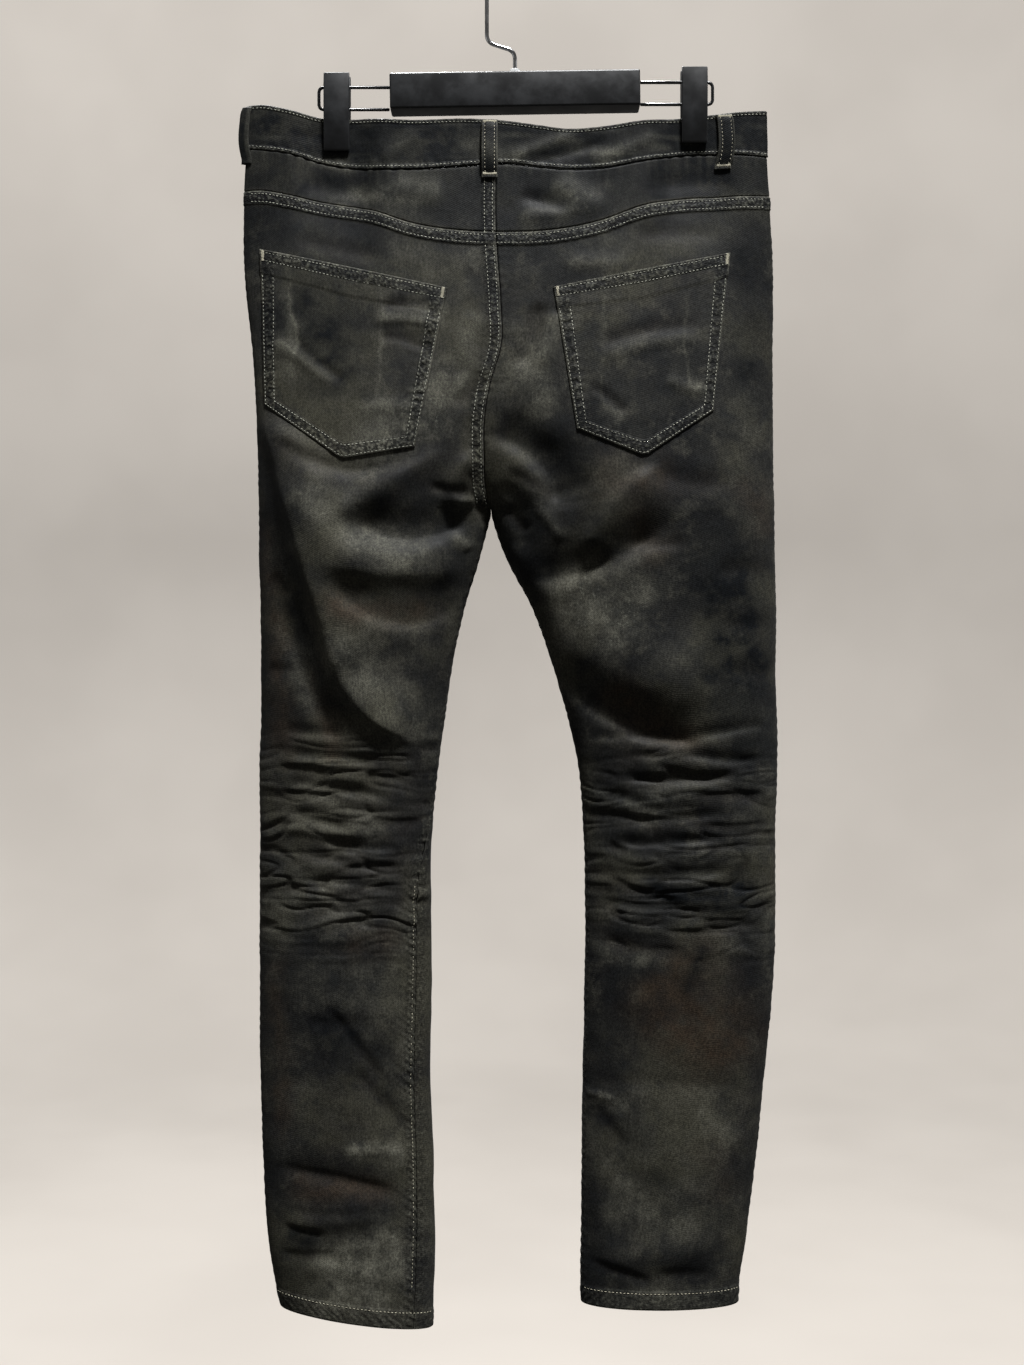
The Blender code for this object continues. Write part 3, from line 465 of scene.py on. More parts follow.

# Patches of tone, with the columns of a fold and its height as their strength. Besides wear and the
# mottled finish, they hold painted light on the lit tops of the thighs and painted shadow in the largest
# folds.
WORN_AND_LIT = {
    "back": rows_of(
        Fold,
        # Painted light where the lamp falls on the tops of the left thigh's swags, as well as wear.
        (-190, 590, -130, 640, -84, 720, 22, 30, 0.4),
        (-196, 470, -130, 560, -60, 560, 10, 24, 0.5),
        (-150, 470, -80, 440, -40, 370, 20, 26, 0.8),
        (-6, 330, 20, 390, 30, 440, 22, 22, 0.6),
        (-174, 236, -150, 226, -128, 214, 9, 9, 0.35),
        # Painted light on the lit top of the right thigh, as well as wear.
        (30, 560, 60, 590, 110, 620, 26, 30, 0.75),
        (90, 540, 110, 560, 130, 590, 20, 24, 0.35),
        (60, 480, 90, 470, 130, 470, 14, 14, 0.25),
        (-90, 318, -74, 326, -66, 342, 6, 8, 0.6),
        (-210, 596, -196, 650, -170, 700, 8, 12, 0.2),
        (64, 760, 110, 770, 150, 752, 16, 14, 0.35),
        (-196, 740, -150, 770, -100, 790, 30, 26, 0.4),
        (-190, 820, -150, 850, -110, 860, 24, 20, 0.35),
        (-150, 1062, -120, 1060, -92, 1068, 8, 10, 0.9),
        (-180, 1150, -130, 1160, -88, 1140, 24, 22, 1.2),
        (-190, 1194, -140, 1180, -100, 1190, 12, 14, 1.0),
        (-206, 970, -190, 990, -180, 1040, 14, 18, 0.25),
        (-150, 900, -120, 920, -96, 960, 16, 16, 0.3),
        (70, 1110, 110, 1120, 160, 1116, 18, 16, 0.5),
        (64, 1010, 84, 1012, 96, 1024, 8, 8, 0.6),
        (74, 1066, 90, 1090, 120, 1100, 10, 12, 0.5),
        (150, 1020, 176, 1030, 190, 1060, 14, 14, 0.4),
        (96, 1000, 140, 1006, 196, 1030, 14, 20, 0.25),
        (62, 1190, 110, 1186, 186, 1192, 8, 8, 0.4),
        (-202, 300, -190, 330, -196, 400, 8, 8, 0.35),
        (-118, 420, -96, 426, -84, 440, 8, 8, 0.5),
        (70, 410, 84, 420, 90, 436, 7, 7, 0.5),
        (148, 396, 160, 400, 170, 410, 6, 6, 0.5),
        (-72, 320, -64, 326, -70, 350, 5, 5, 0.5),
        (-196, 284, -190, 340, -192, 396, 1.6, 1.6, 0.45),
        (-112, 300, -113, 360, -114, 424, 1.6, 1.6, 0.35),
        (74, 312, 75, 360, 78, 424, 1.6, 1.6, 0.45),
        (148, 296, 147, 350, 146, 410, 1.6, 1.6, 0.4),
        (-60, 178, -20, 192, 10, 196, 8, 8, 0.35),
        (-196, 196, -150, 200, -110, 202, 5, 5, 0.45),
        (60, 190, 100, 188, 140, 182, 5, 5, 0.35),
        (-150, 226, -110, 226, -80, 236, 9, 8, 0.35),
        (20, 236, 60, 228, 90, 222, 8, 8, 0.35),
        (-20, 270, -60, 290, -110, 280, 14, 14, 0.2),
        (20, 290, 60, 270, 120, 262, 12, 12, 0.2),
        (60, 880, 90, 890, 120, 896, 6, 8, 0.5),
    ),
    "front": rows_of(
        Fold,
        (-190, 420, -150, 560, -140, 680, 34, 34, 0.45),
        (190, 420, 150, 560, 150, 680, 34, 34, 0.45),
        (-190, 700, -150, 770, -110, 830, 40, 40, 0.45),
        (90, 700, 140, 770, 190, 830, 40, 40, 0.45),
        (-190, 1120, -150, 1160, -110, 1180, 20, 20, 0.5),
        (80, 1120, 130, 1160, 170, 1180, 20, 20, 0.5),
        (-60, 320, -100, 360, -160, 380, 18, 18, 0.3),
        (40, 320, 90, 360, 160, 380, 18, 18, 0.3),
    ),
}
BROWN_AND_SHADE = {
    "back": rows_of(
        Fold,
        # Painted shadow as well as brown tone: the dark band down the left outer thigh, the crescent under
        # the swag below it, and the band's foot.
        (-216, 480, -206, 620, -200, 740, 14, 12, 0.9),
        (-180, 576, -120, 606, -60, 580, 14, 12, 0.9),
        (-176, 600, -160, 690, -150, 740, 10, 10, 0.7),
        # Painted shade on the down-facing tongue of the right thigh's fold.
        (60, 470, 100, 480, 140, 470, 18, 20, 0.6),
        (92, 500, 120, 530, 130, 560, 14, 14, 0.6),
        (70, 650, 120, 690, 170, 712, 14, 14, 0.8),
        (-206, 1084, -150, 1090, -96, 1096, 12, 10, 0.8),
        (120, 890, 170, 930, 200, 1000, 34, 34, 0.85),
        (96, 900, 130, 960, 190, 990, 24, 22, 0.6),
        (-208, 880, -204, 980, -206, 1060, 10, 10, 0.6),
        (-150, 880, -120, 884, -96, 876, 12, 12, 0.4),
        (196, 470, 214, 500, 222, 540, 14, 14, 0.5),
        (160, 1040, 176, 1070, 180, 1110, 16, 16, 0.4),
    ),
    "front": rows_of(
        Fold,
        (-200, 520, -190, 620, -200, 700, 16, 16, 0.6),
        (200, 520, 190, 620, 200, 700, 16, 16, 0.6),
        (-150, 900, -120, 960, -110, 1030, 26, 26, 0.7),
        (90, 900, 120, 980, 170, 1030, 28, 28, 0.7),
        (-30, 420, -60, 470, -40, 540, 20, 20, 0.5),
    ),
}
INK_AND_SHADE = {
    "back": rows_of(
        Fold,
        # Painted shadow: the dark band down the left outer thigh, the crescent under the swag, the shaded
        # strip left of the band, and the hollow beside the right pocket's foot.
        (-222, 440, -190, 580, -150, 700, 9, 9, 1.1),
        (-150, 568, -100, 590, -52, 568, 12, 14, 0.5),
        (-230, 480, -224, 600, -204, 730, 14, 16, 0.7),
        (24, 450, 66, 490, 66, 560, 22, 22, 0.7),
        (160, 470, 196, 600, 200, 740, 30, 34, 0.8),
        (-200, 300, -150, 350, -150, 420, 30, 30, 0.9),
        (-196, 936, -150, 950, -100, 972, 20, 18, 0.75),
        (-204, 1130, -184, 1136, -160, 1140, 12, 10, 0.85),
        (-150, 1116, -130, 1120, -104, 1110, 9, 9, 0.4),
        (96, 830, 160, 850, 228, 838, 24, 30, 0.95),
        (160, 880, 158, 900, 152, 936, 6, 6, 0.8),
        (176, 540, 200, 640, 190, 760, 20, 30, 0.75),
        (150, 610, 180, 660, 200, 740, 12, 14, 0.6),
        (60, 700, 76, 740, 110, 820, 16, 18, 0.6),
        (64, 930, 76, 960, 70, 1000, 10, 12, 0.5),
        (66, 1020, 96, 1040, 126, 1070, 12, 12, 0.8),
        (110, 1080, 130, 1090, 150, 1094, 10, 10, 0.7),
        (66, 1096, 62, 1120, 70, 1160, 8, 8, 0.6),
        (120, 1150, 150, 1156, 186, 1150, 9, 10, 0.6),
        # Painted shadow in the hollow beside the crotch.
        (0, 480, 20, 520, 30, 580, 18, 16, 0.7),
        (-60, 500, -46, 520, -44, 560, 14, 16, 0.6),
        (190, 240, 206, 330, 208, 440, 16, 20, 0.7),
        (-108, 226, -84, 238, -56, 246, 10, 8, 0.95),
        (30, 208, 90, 214, 190, 196, 14, 20, 0.25),
        (-210, 232, -160, 226, -110, 226, 10, 10, 0.5),
        (30, 232, 90, 226, 200, 214, 10, 12, 0.6),
        (-90, 640, -70, 660, -60, 700, 12, 12, 0.4),
        (-100, 730, -80, 740, -74, 760, 12, 12, 0.3),
    ),
    "front": rows_of(
        Fold,
        (-200, 900, -160, 880, -110, 900, 22, 22, 0.7),
        (90, 860, 150, 880, 210, 860, 22, 22, 0.8),
        (-180, 1040, -150, 1060, -110, 1060, 14, 14, 0.6),
        (90, 1060, 130, 1080, 170, 1070, 14, 14, 0.6),
        (-210, 280, -206, 340, -208, 440, 16, 16, 0.6),
        (206, 280, 206, 340, 208, 440, 16, 16, 0.6),
        (-20, 470, 0, 500, 20, 540, 22, 22, 0.6),
    ),
}


def smooth(at, keys, values):
    """Reads a table between its rows along a curve with no kinks."""
    keys = np.asarray(keys, float)
    values = np.asarray(values, float)
    slopes = np.gradient(values, keys)
    at = np.clip(at, keys[0], keys[-1])
    row = np.clip(np.searchsorted(keys, at, side="right") - 1, 0, len(keys) - 2)
    step = keys[row + 1] - keys[row]
    s = (at - keys[row]) / step
    start = values[row] * (1 + 2 * s) * (1 - s) ** 2
    end = values[row + 1] * s * s * (3 - 2 * s)
    bend = step * s * (1 - s) * (slopes[row] * (1 - s) - slopes[row + 1] * s)
    return start + end + bend


def column(table, name, at):
    """One named column of a table, read at the values of its first column."""
    return smooth(at, [row[0] for row in table], [getattr(row, name) for row in table])


def fade(at, start, end):
    """0 up to the start, 1 from the end on, and an even slope between them."""
    s = np.clip((np.asarray(at, float) - start) / (end - start), 0, 1)
    return s * s * (3 - 2 * s)


def wrapped(drop):
    """How far the half of a section has closed into a leg: 0 at the hips and 1 from the crotch down."""
    s = np.clip((drop - HIP_DROP) / (CROTCH_DROP - HIP_DROP), 0, 1)
    return 2 / math.pi * np.arcsin(s**1.5)


def inner_edge(side, face, drop):
    """x of the centre seam above the crotch and of the inseam below it."""
    seam = column(CENTRE_SEAM, face, drop)
    inseam = column(SECTIONS, side + "_in", np.maximum(drop, CROTCH_DROP))
    return np.where(drop < CROTCH_DROP, seam, inseam)


def half_depth(face, x, drop):
    """Half the thickness of the garment towards one face, drawn in where the clips grip."""
    depth = column(SECTIONS, face, drop)
    pinch = sum(np.exp(-(((x - clip.x) / PINCH_HALF_WIDTH) ** 4)) for clip in CLIPS.values())
    pinch = np.minimum(pinch, 1) * (1 - fade(drop, *PINCH_FADE))
    return depth + (CLIPPED_DEPTH - depth) * pinch


def fold_height(fold, x, drop):
    """The soft ridge or trough of one fold at each place."""
    share = np.linspace(0, 1, FOLD_STEPS + 1)
    line_x = (1 - share) ** 2 * fold.x0 + 2 * share * (1 - share) * fold.x1 + share**2 * fold.x2
    line_drop = (1 - share) ** 2 * fold.drop0 + 2 * share * (1 - share) * fold.drop1 + share**2 * fold.drop2
    nearest = np.full(np.shape(x), np.inf)
    height = np.zeros(np.shape(x))
    for i in range(FOLD_STEPS):
        along = np.array((line_x[i + 1] - line_x[i], line_drop[i + 1] - line_drop[i]))
        length = np.hypot(*along)
        off_x = x - line_x[i]
        off_drop = drop - line_drop[i]
        s = np.clip((off_x * along[0] + off_drop * along[1]) / length**2, 0, 1)
        side = off_drop * along[0] - off_x * along[1]
        distance = np.hypot(off_x - s * along[0], off_drop - s * along[1])
        reach = np.where(side > 0, fold.side_a, fold.side_b)
        done = (i + s) / FOLD_STEPS
        ends = fade(done, 0, FOLD_END) * fade(1 - done, 0, FOLD_END)
        closer = distance < nearest
        height = np.where(closer, fold.height * ends * np.exp(-((distance / reach) ** 2)), height)
        nearest = np.minimum(distance, nearest)
    return height


def fold_sum(table, x, drop):
    """The height of all the folds of a table, each worked out only near its own line."""
    x, drop = np.broadcast_arrays(np.asarray(x, float), np.asarray(drop, float))
    total = np.zeros(x.shape)
    for fold in table:
        reach = 2.6 * max(fold.side_a, fold.side_b)
        near = (x > min(fold.x0, fold.x1, fold.x2) - reach) & (x < max(fold.x0, fold.x1, fold.x2) + reach)
        near &= drop > min(fold.drop0, fold.drop1, fold.drop2) - reach
        near &= drop < max(fold.drop0, fold.drop1, fold.drop2) + reach
        if near.any():
            total[near] += fold_height(fold, x[near], drop[near])
    return total


def calm(x, drop):
    """1 on open cloth and near 0 under a back pocket, whose stiff patch lies flat."""
    still = np.zeros(np.shape(x))
    for pocket in POCKETS.values():
        left = min(pocket.top_left[0], pocket.bottom_left[0])
        right = max(pocket.top_right[0], pocket.bottom_right[0])
        top = min(pocket.top_left[1], pocket.top_right[1])
        feet = (pocket.bottom_left, pocket.point, pocket.bottom_right)
        foot = np.interp(x, [spot[0] for spot in feet], [spot[1] for spot in feet]) - POCKET_FLAT_FOOT
        across = fade(x, left - POCKET_CALM, left + POCKET_FLAT_EDGE)
        across = across * fade(-x, -right - POCKET_CALM, POCKET_FLAT_EDGE - right)
        down = fade(drop, top - POCKET_CALM, top + POCKET_FLAT_EDGE) * fade(-drop, -foot - POCKET_CALM, -foot)
        still = np.maximum(still, across * down)
    return 1 - POCKET_FLATNESS * still


def folds(face, x, drop):
    """The height of the largest folds of one face, as in the solids."""
    return fold_sum(FOLDS[face], x, drop) * (calm(x, drop) if face == "back" else 1)


def lattice(cell, seed):
    """A steady value from -1 to 1 for each whole-numbered cell."""
    a, b, c = (axis.astype(np.int64) for axis in cell)
    mixed = (a * 73856093 ^ b * 19349663 ^ c * 83492791 ^ seed * 2654435761) & 0x7FFFFFFF
    mixed = ((mixed ^ (mixed >> 13)) * 1274126177) & 0x7FFFFFFF
    return (mixed >> 7) % 65536 / 32767.5 - 1


def noise(x, y, z, size, seed):
    """Smooth noise from -1 to 1, whose lumps are about as long as the size says along each axis."""
    spot = [np.asarray(axis, float) / step for axis, step in zip(np.broadcast_arrays(x, y, z), size)]
    low = [np.floor(axis) for axis in spot]
    ease = [fade(axis - floor, 0, 1) for axis, floor in zip(spot, low)]
    total = 0
    for corner in itertools.product((0, 1), repeat=3):
        weight = 1
        for step, share in zip(corner, ease):
            weight = weight * (share if step else 1 - share)
        total = total + weight * lattice([axis + step for axis, step in zip(low, corner)], seed)
    return total


def section_edges(side, face, drop, inset):
    """The outseam and the signed half width of a half section, moved in by an inset."""
    wrap = wrapped(drop)
    towards = TOWARDS_CENTRE[side]
    out = column(SECTIONS, side + "_out", drop) + towards * inset
    edge = inner_edge(side, face, drop) - towards * (inset + GAP / 2) * wrap
    return out, (edge - out) / (1 - np.cos(math.pi / 2 * (1 + wrap)))


def cloth_x(side, around, drop, inset):
    """x of the cloth at an angle round a half section: 0 at the outseam, growing over the back."""
    back_out, back_half = section_edges(side, "back", drop, inset)
    front_out, front_half = section_edges(side, "front", drop, inset)
    out = np.where(around > 0, back_out, front_out)
    return out + np.where(around > 0, back_half, front_half) * (1 - np.cos(around))


def knee_lines(x, drop, seed):
    """The net of thin valleys behind and before a knee, where the cloth creases as the leg bends."""
    bent = drop + 6.5 * noise(x, 0, drop, (38, 1, 26), seed)
    net = noise(x, 0, bent, (36, 1, 8.5), seed + 1)
    depth = 0.5 + 0.5 * noise(x, 0, drop, (30, 1, 14), seed + 2)
    ragged = drop + 20 * noise(x, 0, drop, (30, 1, 40), seed + 5)
    place = fade(ragged, *KNEE_TOP) * (1 - fade(ragged, *KNEE_FOOT))
    ridge = 0.9 * noise(x, 0, bent, (40, 1, 7), seed + 3)
    cross = noise(x + 0.9 * drop, 0, bent, (46, 1, 11), seed + 4)
    lines = np.exp(-((net / 0.17) ** 2)) + 0.6 * np.exp(-((cross / 0.12) ** 2))
    return place * (ridge - 2.0 * depth * lines)


def fine_relief(face, x, around, drop):
    """Creases and soft dents that are too small for the solids, as a height over the cloth."""
    level = -np.sin(around) * 60
    open_cloth = calm(x, drop) if face == "back" else 1
    dents = 0.75 * noise(x, level, drop, (52, 60, 46), 11) + 0.3 * noise(x, level, drop, (19, 30, 15), 12)
    below = fade(drop, *DENTS_FADE)
    seed = 40 if face == "back" else 60
    away = fade(np.abs(np.sin(around)), 0.05, 0.4)
    creased = 1.45 * fold_sum(CREASES[face], x, drop) + knee_lines(x, drop, seed)
    return dents * (0.25 + 0.75 * open_cloth) * (0.3 + 0.7 * below) + creased * away


def skin(side, around, drop, rise, relief=1.0):
    """The places of the cloth's surface, raised by a height over the bare cloth, and its fine relief."""
    around, drop, rise = np.broadcast_arrays(around, np.asarray(drop, float), np.asarray(rise, float))
    bare = cloth_x(side, around, drop, 0.0)
    fine = np.where(around > 0, *(fine_relief(face, bare, around, drop) for face in FACES))
    lifted = rise + fine * relief
    x = cloth_x(side, around, drop, -lifted)
    back = half_depth("back", x, drop) + folds("back", bare, drop)
    front = half_depth("front", x, drop) + folds("front", bare, drop)
    lift = np.sin(around)
    return np.stack([x, -lift * (np.where(lift > 0, back, front) + lifted), -drop], -1), fine


def find_around(side, face, x, drop):
    """The angle at which the cloth of one face passes x."""
    out, half = section_edges(side, face, drop, 0.0)
    around = np.arccos(np.clip(1 - (x - out) / half, -1, 1))
    return around if face == "back" else -around


def on_left(face, x, drop):
    """Whether a place seen on one face lies on the left half of the garment."""
    return x <= inner_edge("left", face, drop) + 0.01


def on_face(face, x, drop, rise):
    """The surface seen at x on one face, on whichever half that is."""
    left = on_left(face, x, drop)
    spots = [skin(side, find_around(side, face, x, drop), drop, rise)[0] for side in SIDES]
    return np.where(left[..., None], *spots)


def turn_of(drop):
    """How far the left inseam lies round the back of the leg."""
    return column(LEFT_TURN, "turn", drop) * (drop > LEFT_TURN[0].drop)


def seam_angle(side, face, drop):
    """The angle at which a panel of one face ends at its inner seam, with half the gap left free."""
    end = math.pi / 2 * (1 + wrapped(drop))
    half = section_edges(side, face, drop, 0)[1]
    if side == "left":
        turn = turn_of(drop)
        end = np.where(turn > 0, np.arccos(np.clip(turn / half - 1, -1, 1)), end)
    depth = column(SECTIONS, face, drop)
    gap = GAP / 2 / np.hypot(half * np.sin(end), depth * np.cos(end))
    if face == "back":
        return end - gap
    beyond = np.where(end < math.pi / 2 * (1 + wrapped(drop)) - 1e-6, 2 * math.pi - end, end)
    return -(beyond - gap)


def front_drop(x, name):
    """The edge of the waistband in front, which hangs a little lower between the clips."""
    sag = FRONT_SAG * np.clip(1 - (x / SAG_HALF_WIDTH) ** 2, 0, 1)
    return column(BAND, name, x) + sag


def band_edge(face, x, name):
    """The drop of an edge of the waistband or the yoke on one face."""
    return column(BAND, name, x) if face == "back" else front_drop(x, name)


def panel_top(side, face, x):
    """The top edge of a leg panel: the yoke seam behind, and the waistband and pocket mouth in front."""
    if face == "back":
        return column(BAND, "yoke", x) + GAP / 2
    in_from_side = (x - column(SECTIONS, side + "_out", MOUTH_DROP)) * TOWARDS_CENTRE[side]
    scoop = SCOOP_DEPTH * np.clip(1 - (in_from_side / SCOOP_WIDTH) ** 2, 0, 1) ** 0.6
    return front_drop(x, "bottom") + GAP / 2 + scoop


def hem_line(side, x):
    """The drop of the hem. The left leg hangs a little askew."""
    if side == "left":
        start, drop, slope = LEFT_HEM
        return drop + (x - start) * slope
    return np.full(np.shape(x), RIGHT_HEM_DROP)


def spaced(table):
    """Places along a length, set out by a table of places and the spacing there."""
    places, steps = np.array(table, float).T
    fine = np.linspace(places[0], places[-1], 4000)
    middle = (fine[1:] + fine[:-1]) / 2
    passed = np.concatenate([[0], np.cumsum(np.diff(fine) / np.interp(middle, places, steps))])
    return np.interp(np.linspace(0, passed[-1], int(round(passed[-1])) + 1), passed, fine)


def shares(count):
    """Shares from 0 to 1 with three extra close to each end, where an edge of cloth is rolled."""
    close = np.array((0, 0.0025, 0.005, 0.008))
    return np.concatenate([close, np.linspace(0.014, 0.986, count - 7), 1 - close[::-1]])


def rolled(away, radius=EDGE_ROUND):
    """How far the surface drops as it rolls over at a distance from an edge."""
    s = 1 - np.clip(away / radius, 0, 1)
    return radius * (1 - np.sqrt(1 - 0.96 * s * s))


def dip(away, depth=0.35, width=1.0):
    """The dent that a row of stitches pulls into the cloth."""
    return -depth * np.exp(-((away / width) ** 2))


def lapped_seam(away):
    """The raised band of a lapped seam with the dents of its two rows, at a distance from its edge."""
    band = BAND_RAISE * (1 - fade(away, SEAM_BAND - 0.5, SEAM_BAND + 1.2))
    return band + dip(away - STITCH_ROWS[0]) + dip(away - STITCH_ROWS[1])


def rubbed(away, reach):
    """Wear along an edge: 1 on the edge and 0 from its reach on."""
    return 1 - fade(away, 0.5, reach)


def pucker(along, away, pitch, reach, seed):
    """Small waves where a seam draws the cloth in, at a distance along the seam and away from it."""
    wave = np.sin(2 * math.pi * along / pitch + 2.6 * noise(along, 0, 0, (23, 1, 1), seed))
    strength = 0.6 + 0.4 * noise(along, 0, 0, (17, 1, 1), seed + 1)
    return wave * strength * np.exp(-np.clip(away, 0, None) / reach)


def channel(away, width):
    """1 between an edge and the last row of stitches beside it, and 0 beyond."""
    return fade(away, -1.0, 1.2) * (1 - fade(away, width - 0.8, width + 1.4))


def lengths(points, axis):
    """The distance covered along one axis of a grid of points."""
    steps = np.linalg.norm(np.diff(points, axis=axis), axis=-1)
    start = np.zeros_like(np.take(steps, [0], axis))
    return np.concatenate([start, np.cumsum(steps, axis)], axis)


def patches(table, face, x, drop, seed):
    """The strength of the patches of one tone on a face, with ragged, mottled edges."""
    bent_x = x + 5 * noise(x, 0, drop, (31, 1, 27), seed) + 2 * noise(x, 0, drop, (9, 1, 8), seed + 1)
    bent_drop = drop + 5 * noise(x, 5, drop, (29, 1, 33), seed + 2)
    mottle = 0.8 + 0.35 * noise(x, 0, drop, (14, 1, 11), seed + 3)
    mottle = mottle + 0.2 * noise(x, 0, drop, (5, 1, 4), seed + 4)
    return np.clip(fold_sum(table[face], bent_x, bent_drop), 0, 1.2) * mottle


def tones(around, x, drop, relief, worn):
    """The three tones of the finish at each place: worn pale, brown, and inky dark, which also carry painted
    light and painted shade.
    """
    found = []
    for table, seed in ((WORN_AND_LIT, 70), (BROWN_AND_SHADE, 80), (INK_AND_SHADE, 90)):
        sides = [patches(table, face, x, drop, seed) for face in FACES]
        found.append(np.where(around > 0, *sides))
    found[0] = found[0] + worn + 0.32 * np.clip(relief / 1.3, 0, 1)
    # Painted shade: the deeper a crease, the browner and darker it is painted. The top is darker as well.
    found[1] = found[1] + 0.16 * np.clip(-relief / 1.6, 0, 1)
    found[2] = found[2] + 0.22 * np.clip(-relief / 1.4, 0, 1) + 0.8 * (1 - fade(drop, *TOP_INK_FADE))
    return np.clip(np.stack(found, -1), 0, 1)


def sheet_grid(name, points, tone, thick, drawn=0.0):
    """Cloth: a flat grid laid on a table of points, first down and then across, and given its thickness.

    The tone attribute carries the finish, with its painted light and shade, and in its alpha where rows of
    stitches have drawn the cloth up.
    """
    rows, columns = points.shape[:2]
    bm = bmesh.new()
    bmesh.ops.create_grid(bm, x_segments=columns - 1, y_segments=rows - 1, size=0.5)
    mesh = bpy.data.meshes.new(name)
    bm.to_mesh(mesh)
    bm.free()
    flat = np.empty(len(mesh.vertices) * 3, np.float32)
    mesh.vertices.foreach_get("co", flat)
    flat = flat.reshape(-1, 3)
    column = np.round((flat[:, 0] + 0.5) * (columns - 1)).astype(int)
    row = np.round((flat[:, 1] + 0.5) * (rows - 1)).astype(int)
    mesh.vertices.foreach_set("co", (points[row, column] * MM).ravel())
    mesh.update()
    outward = sum(part.area * part.normal.y * part.center.y for part in mesh.polygons)
    if outward < 0:
        mesh.flip_normals()
    across = lengths(points, 1) + points[:, :1, 0]
    down = lengths(points, 0)
    loops = np.empty(len(mesh.loops), np.int32)
    mesh.loops.foreach_get("vertex_index", loops)
    laid = np.stack([across[row, column], down[row, column]], -1) * MM
    layer = mesh.uv_layers.new(name="cloth")
    layer.data.foreach_set("uv", laid[loops].astype(np.float32).ravel())
    paint = mesh.color_attributes.new(name="tone", type="FLOAT_COLOR", domain="POINT")
    alpha = np.clip(np.broadcast_to(drawn, points.shape[:2])[row, column, None], 0, 1)
    full = np.concatenate([tone[row, column], alpha], -1)
    paint.data.foreach_set("color", full.astype(np.float32).ravel())
    mesh.shade_smooth()
    made = bpy.data.objects.new(name, mesh)
    bpy.context.scene.collection.objects.link(made)
    shell = made.modifiers.new("cloth thickness", "SOLIDIFY")
    shell.thickness = thick * MM
    shell.offset = -1
    finish_piece(made, "coated_denim")
    return made


def finish_piece(made, slot, material=None):
    """Gives a piece its material, looked up by slot name unless one is given, and lets it hang with the rest.
    """
    made.data.materials.append(material or MATERIALS[slot])
    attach(made, "root")


def leg_rise(side, face, points, drop, below):
    """How far each place of a leg stands over the bare cloth, how worn it is and how gathered by stitches."""
    along = lengths(points, 1)
    inner = along[:, -1:] - along
    x = points[..., 0]
    top = drop - panel_top(side, face, x)
    hem = hem_line(side, x) - drop
    crotch = fade(drop, CROTCH_DROP - 12, CROTCH_DROP + 10)
    rise = -rolled(along) - rolled(inner) - rolled(np.clip(top, 0, None))
    worn = 0.45 * rubbed(along, 3) * (0.5 + 0.5 * noise(drop, 0, 0, (14, 1, 1), 31))
    rise += HEM_RAISE * (1 - fade(hem, HEM_HEIGHT - 1, HEM_HEIGHT + 0.8))
    rise += dip(hem - HEM_HEIGHT + HEM_ROW, 0.4)
    roping = pucker(along + 0.9 * hem, np.abs(hem - 8), 7.5, 8, 33 if side == "left" else 35)
    rise += 0.42 * roping * (1 - fade(hem, HEM_HEIGHT + 2, HEM_HEIGHT + 12))
    worn += 0.55 * (1 - fade(hem, 0.6, 3.2)) + 0.3 * np.clip(roping, 0, 1) * (1 - fade(hem, 12, 20))
    rise += 0.32 * pucker(drop, along, 9.0, 6.0, 36) * fade(top, 16, 30)
    leg_seam = pucker(drop, inner, 9.5, 6.0, 37)
    rise += 0.42 * leg_seam * crotch
    if face == "back":
        rise += lapped_seam(top)
        rise += 0.34 * pucker(x, np.abs(top - 6), 8.5, 6, 38)
        worn += 0.75 * rubbed(top, 2.6) * (0.7 + 0.3 * noise(x, 0, 0, (11, 1, 1), 39))
        worn += 0.28 * np.exp(-(((top - SEAM_BAND) / 1.6) ** 2))
        if side == "left":
            seat = 1 - crotch
            rise += seat * lapped_seam(inner)
            rise += seat * 0.34 * pucker(drop, np.abs(inner - 6), 9, 6, 41)
            worn += seat * 0.85 * rubbed(inner, 2.8)
            rope = pucker(drop + 0.8 * inner, np.abs(inner - 4), 7.0, 6, 42) * fade(drop, *ROPE_FADE)
            rise += 0.95 * rope
            worn += 0.6 * np.clip(rope, 0, 1)
        else:
            rise += (1 - crotch) * 0.3 * pucker(drop, inner, 9, 7, 43)
    else:
        for away in MOUTH_ROWS:
            rise += dip(top - away, 0.3, 1.2)
        worn += 0.7 * rubbed(top, 2.6)
        turned = pucker(drop + 0.8 * inner, np.abs(inner - 4), 7.0, 6, 44) * fade(drop, *ROPE_FADE)
        if side == "left":
            rise += 0.6 * turned
            worn += 0.4 * np.clip(turned, 0, 1)
    worn += 0.3 * np.clip(leg_seam * crotch, 0, 1)
    drawn = np.maximum(0.5 * channel(hem - 1, HEM_HEIGHT - 1), 0.5 * channel(inner, 8) * crotch)
    if face == "back":
        drawn = np.maximum(drawn, channel(top, SEAM_BAND))
        if side == "left":
            drawn = np.maximum(drawn, channel(inner, SEAM_BAND) * seat)
            drawn = np.maximum(drawn, 0.45 * channel(inner, 9) * crotch)
    return np.where(below, 0, rise), np.where(below, 0.2, np.clip(worn, 0, 1)), drawn


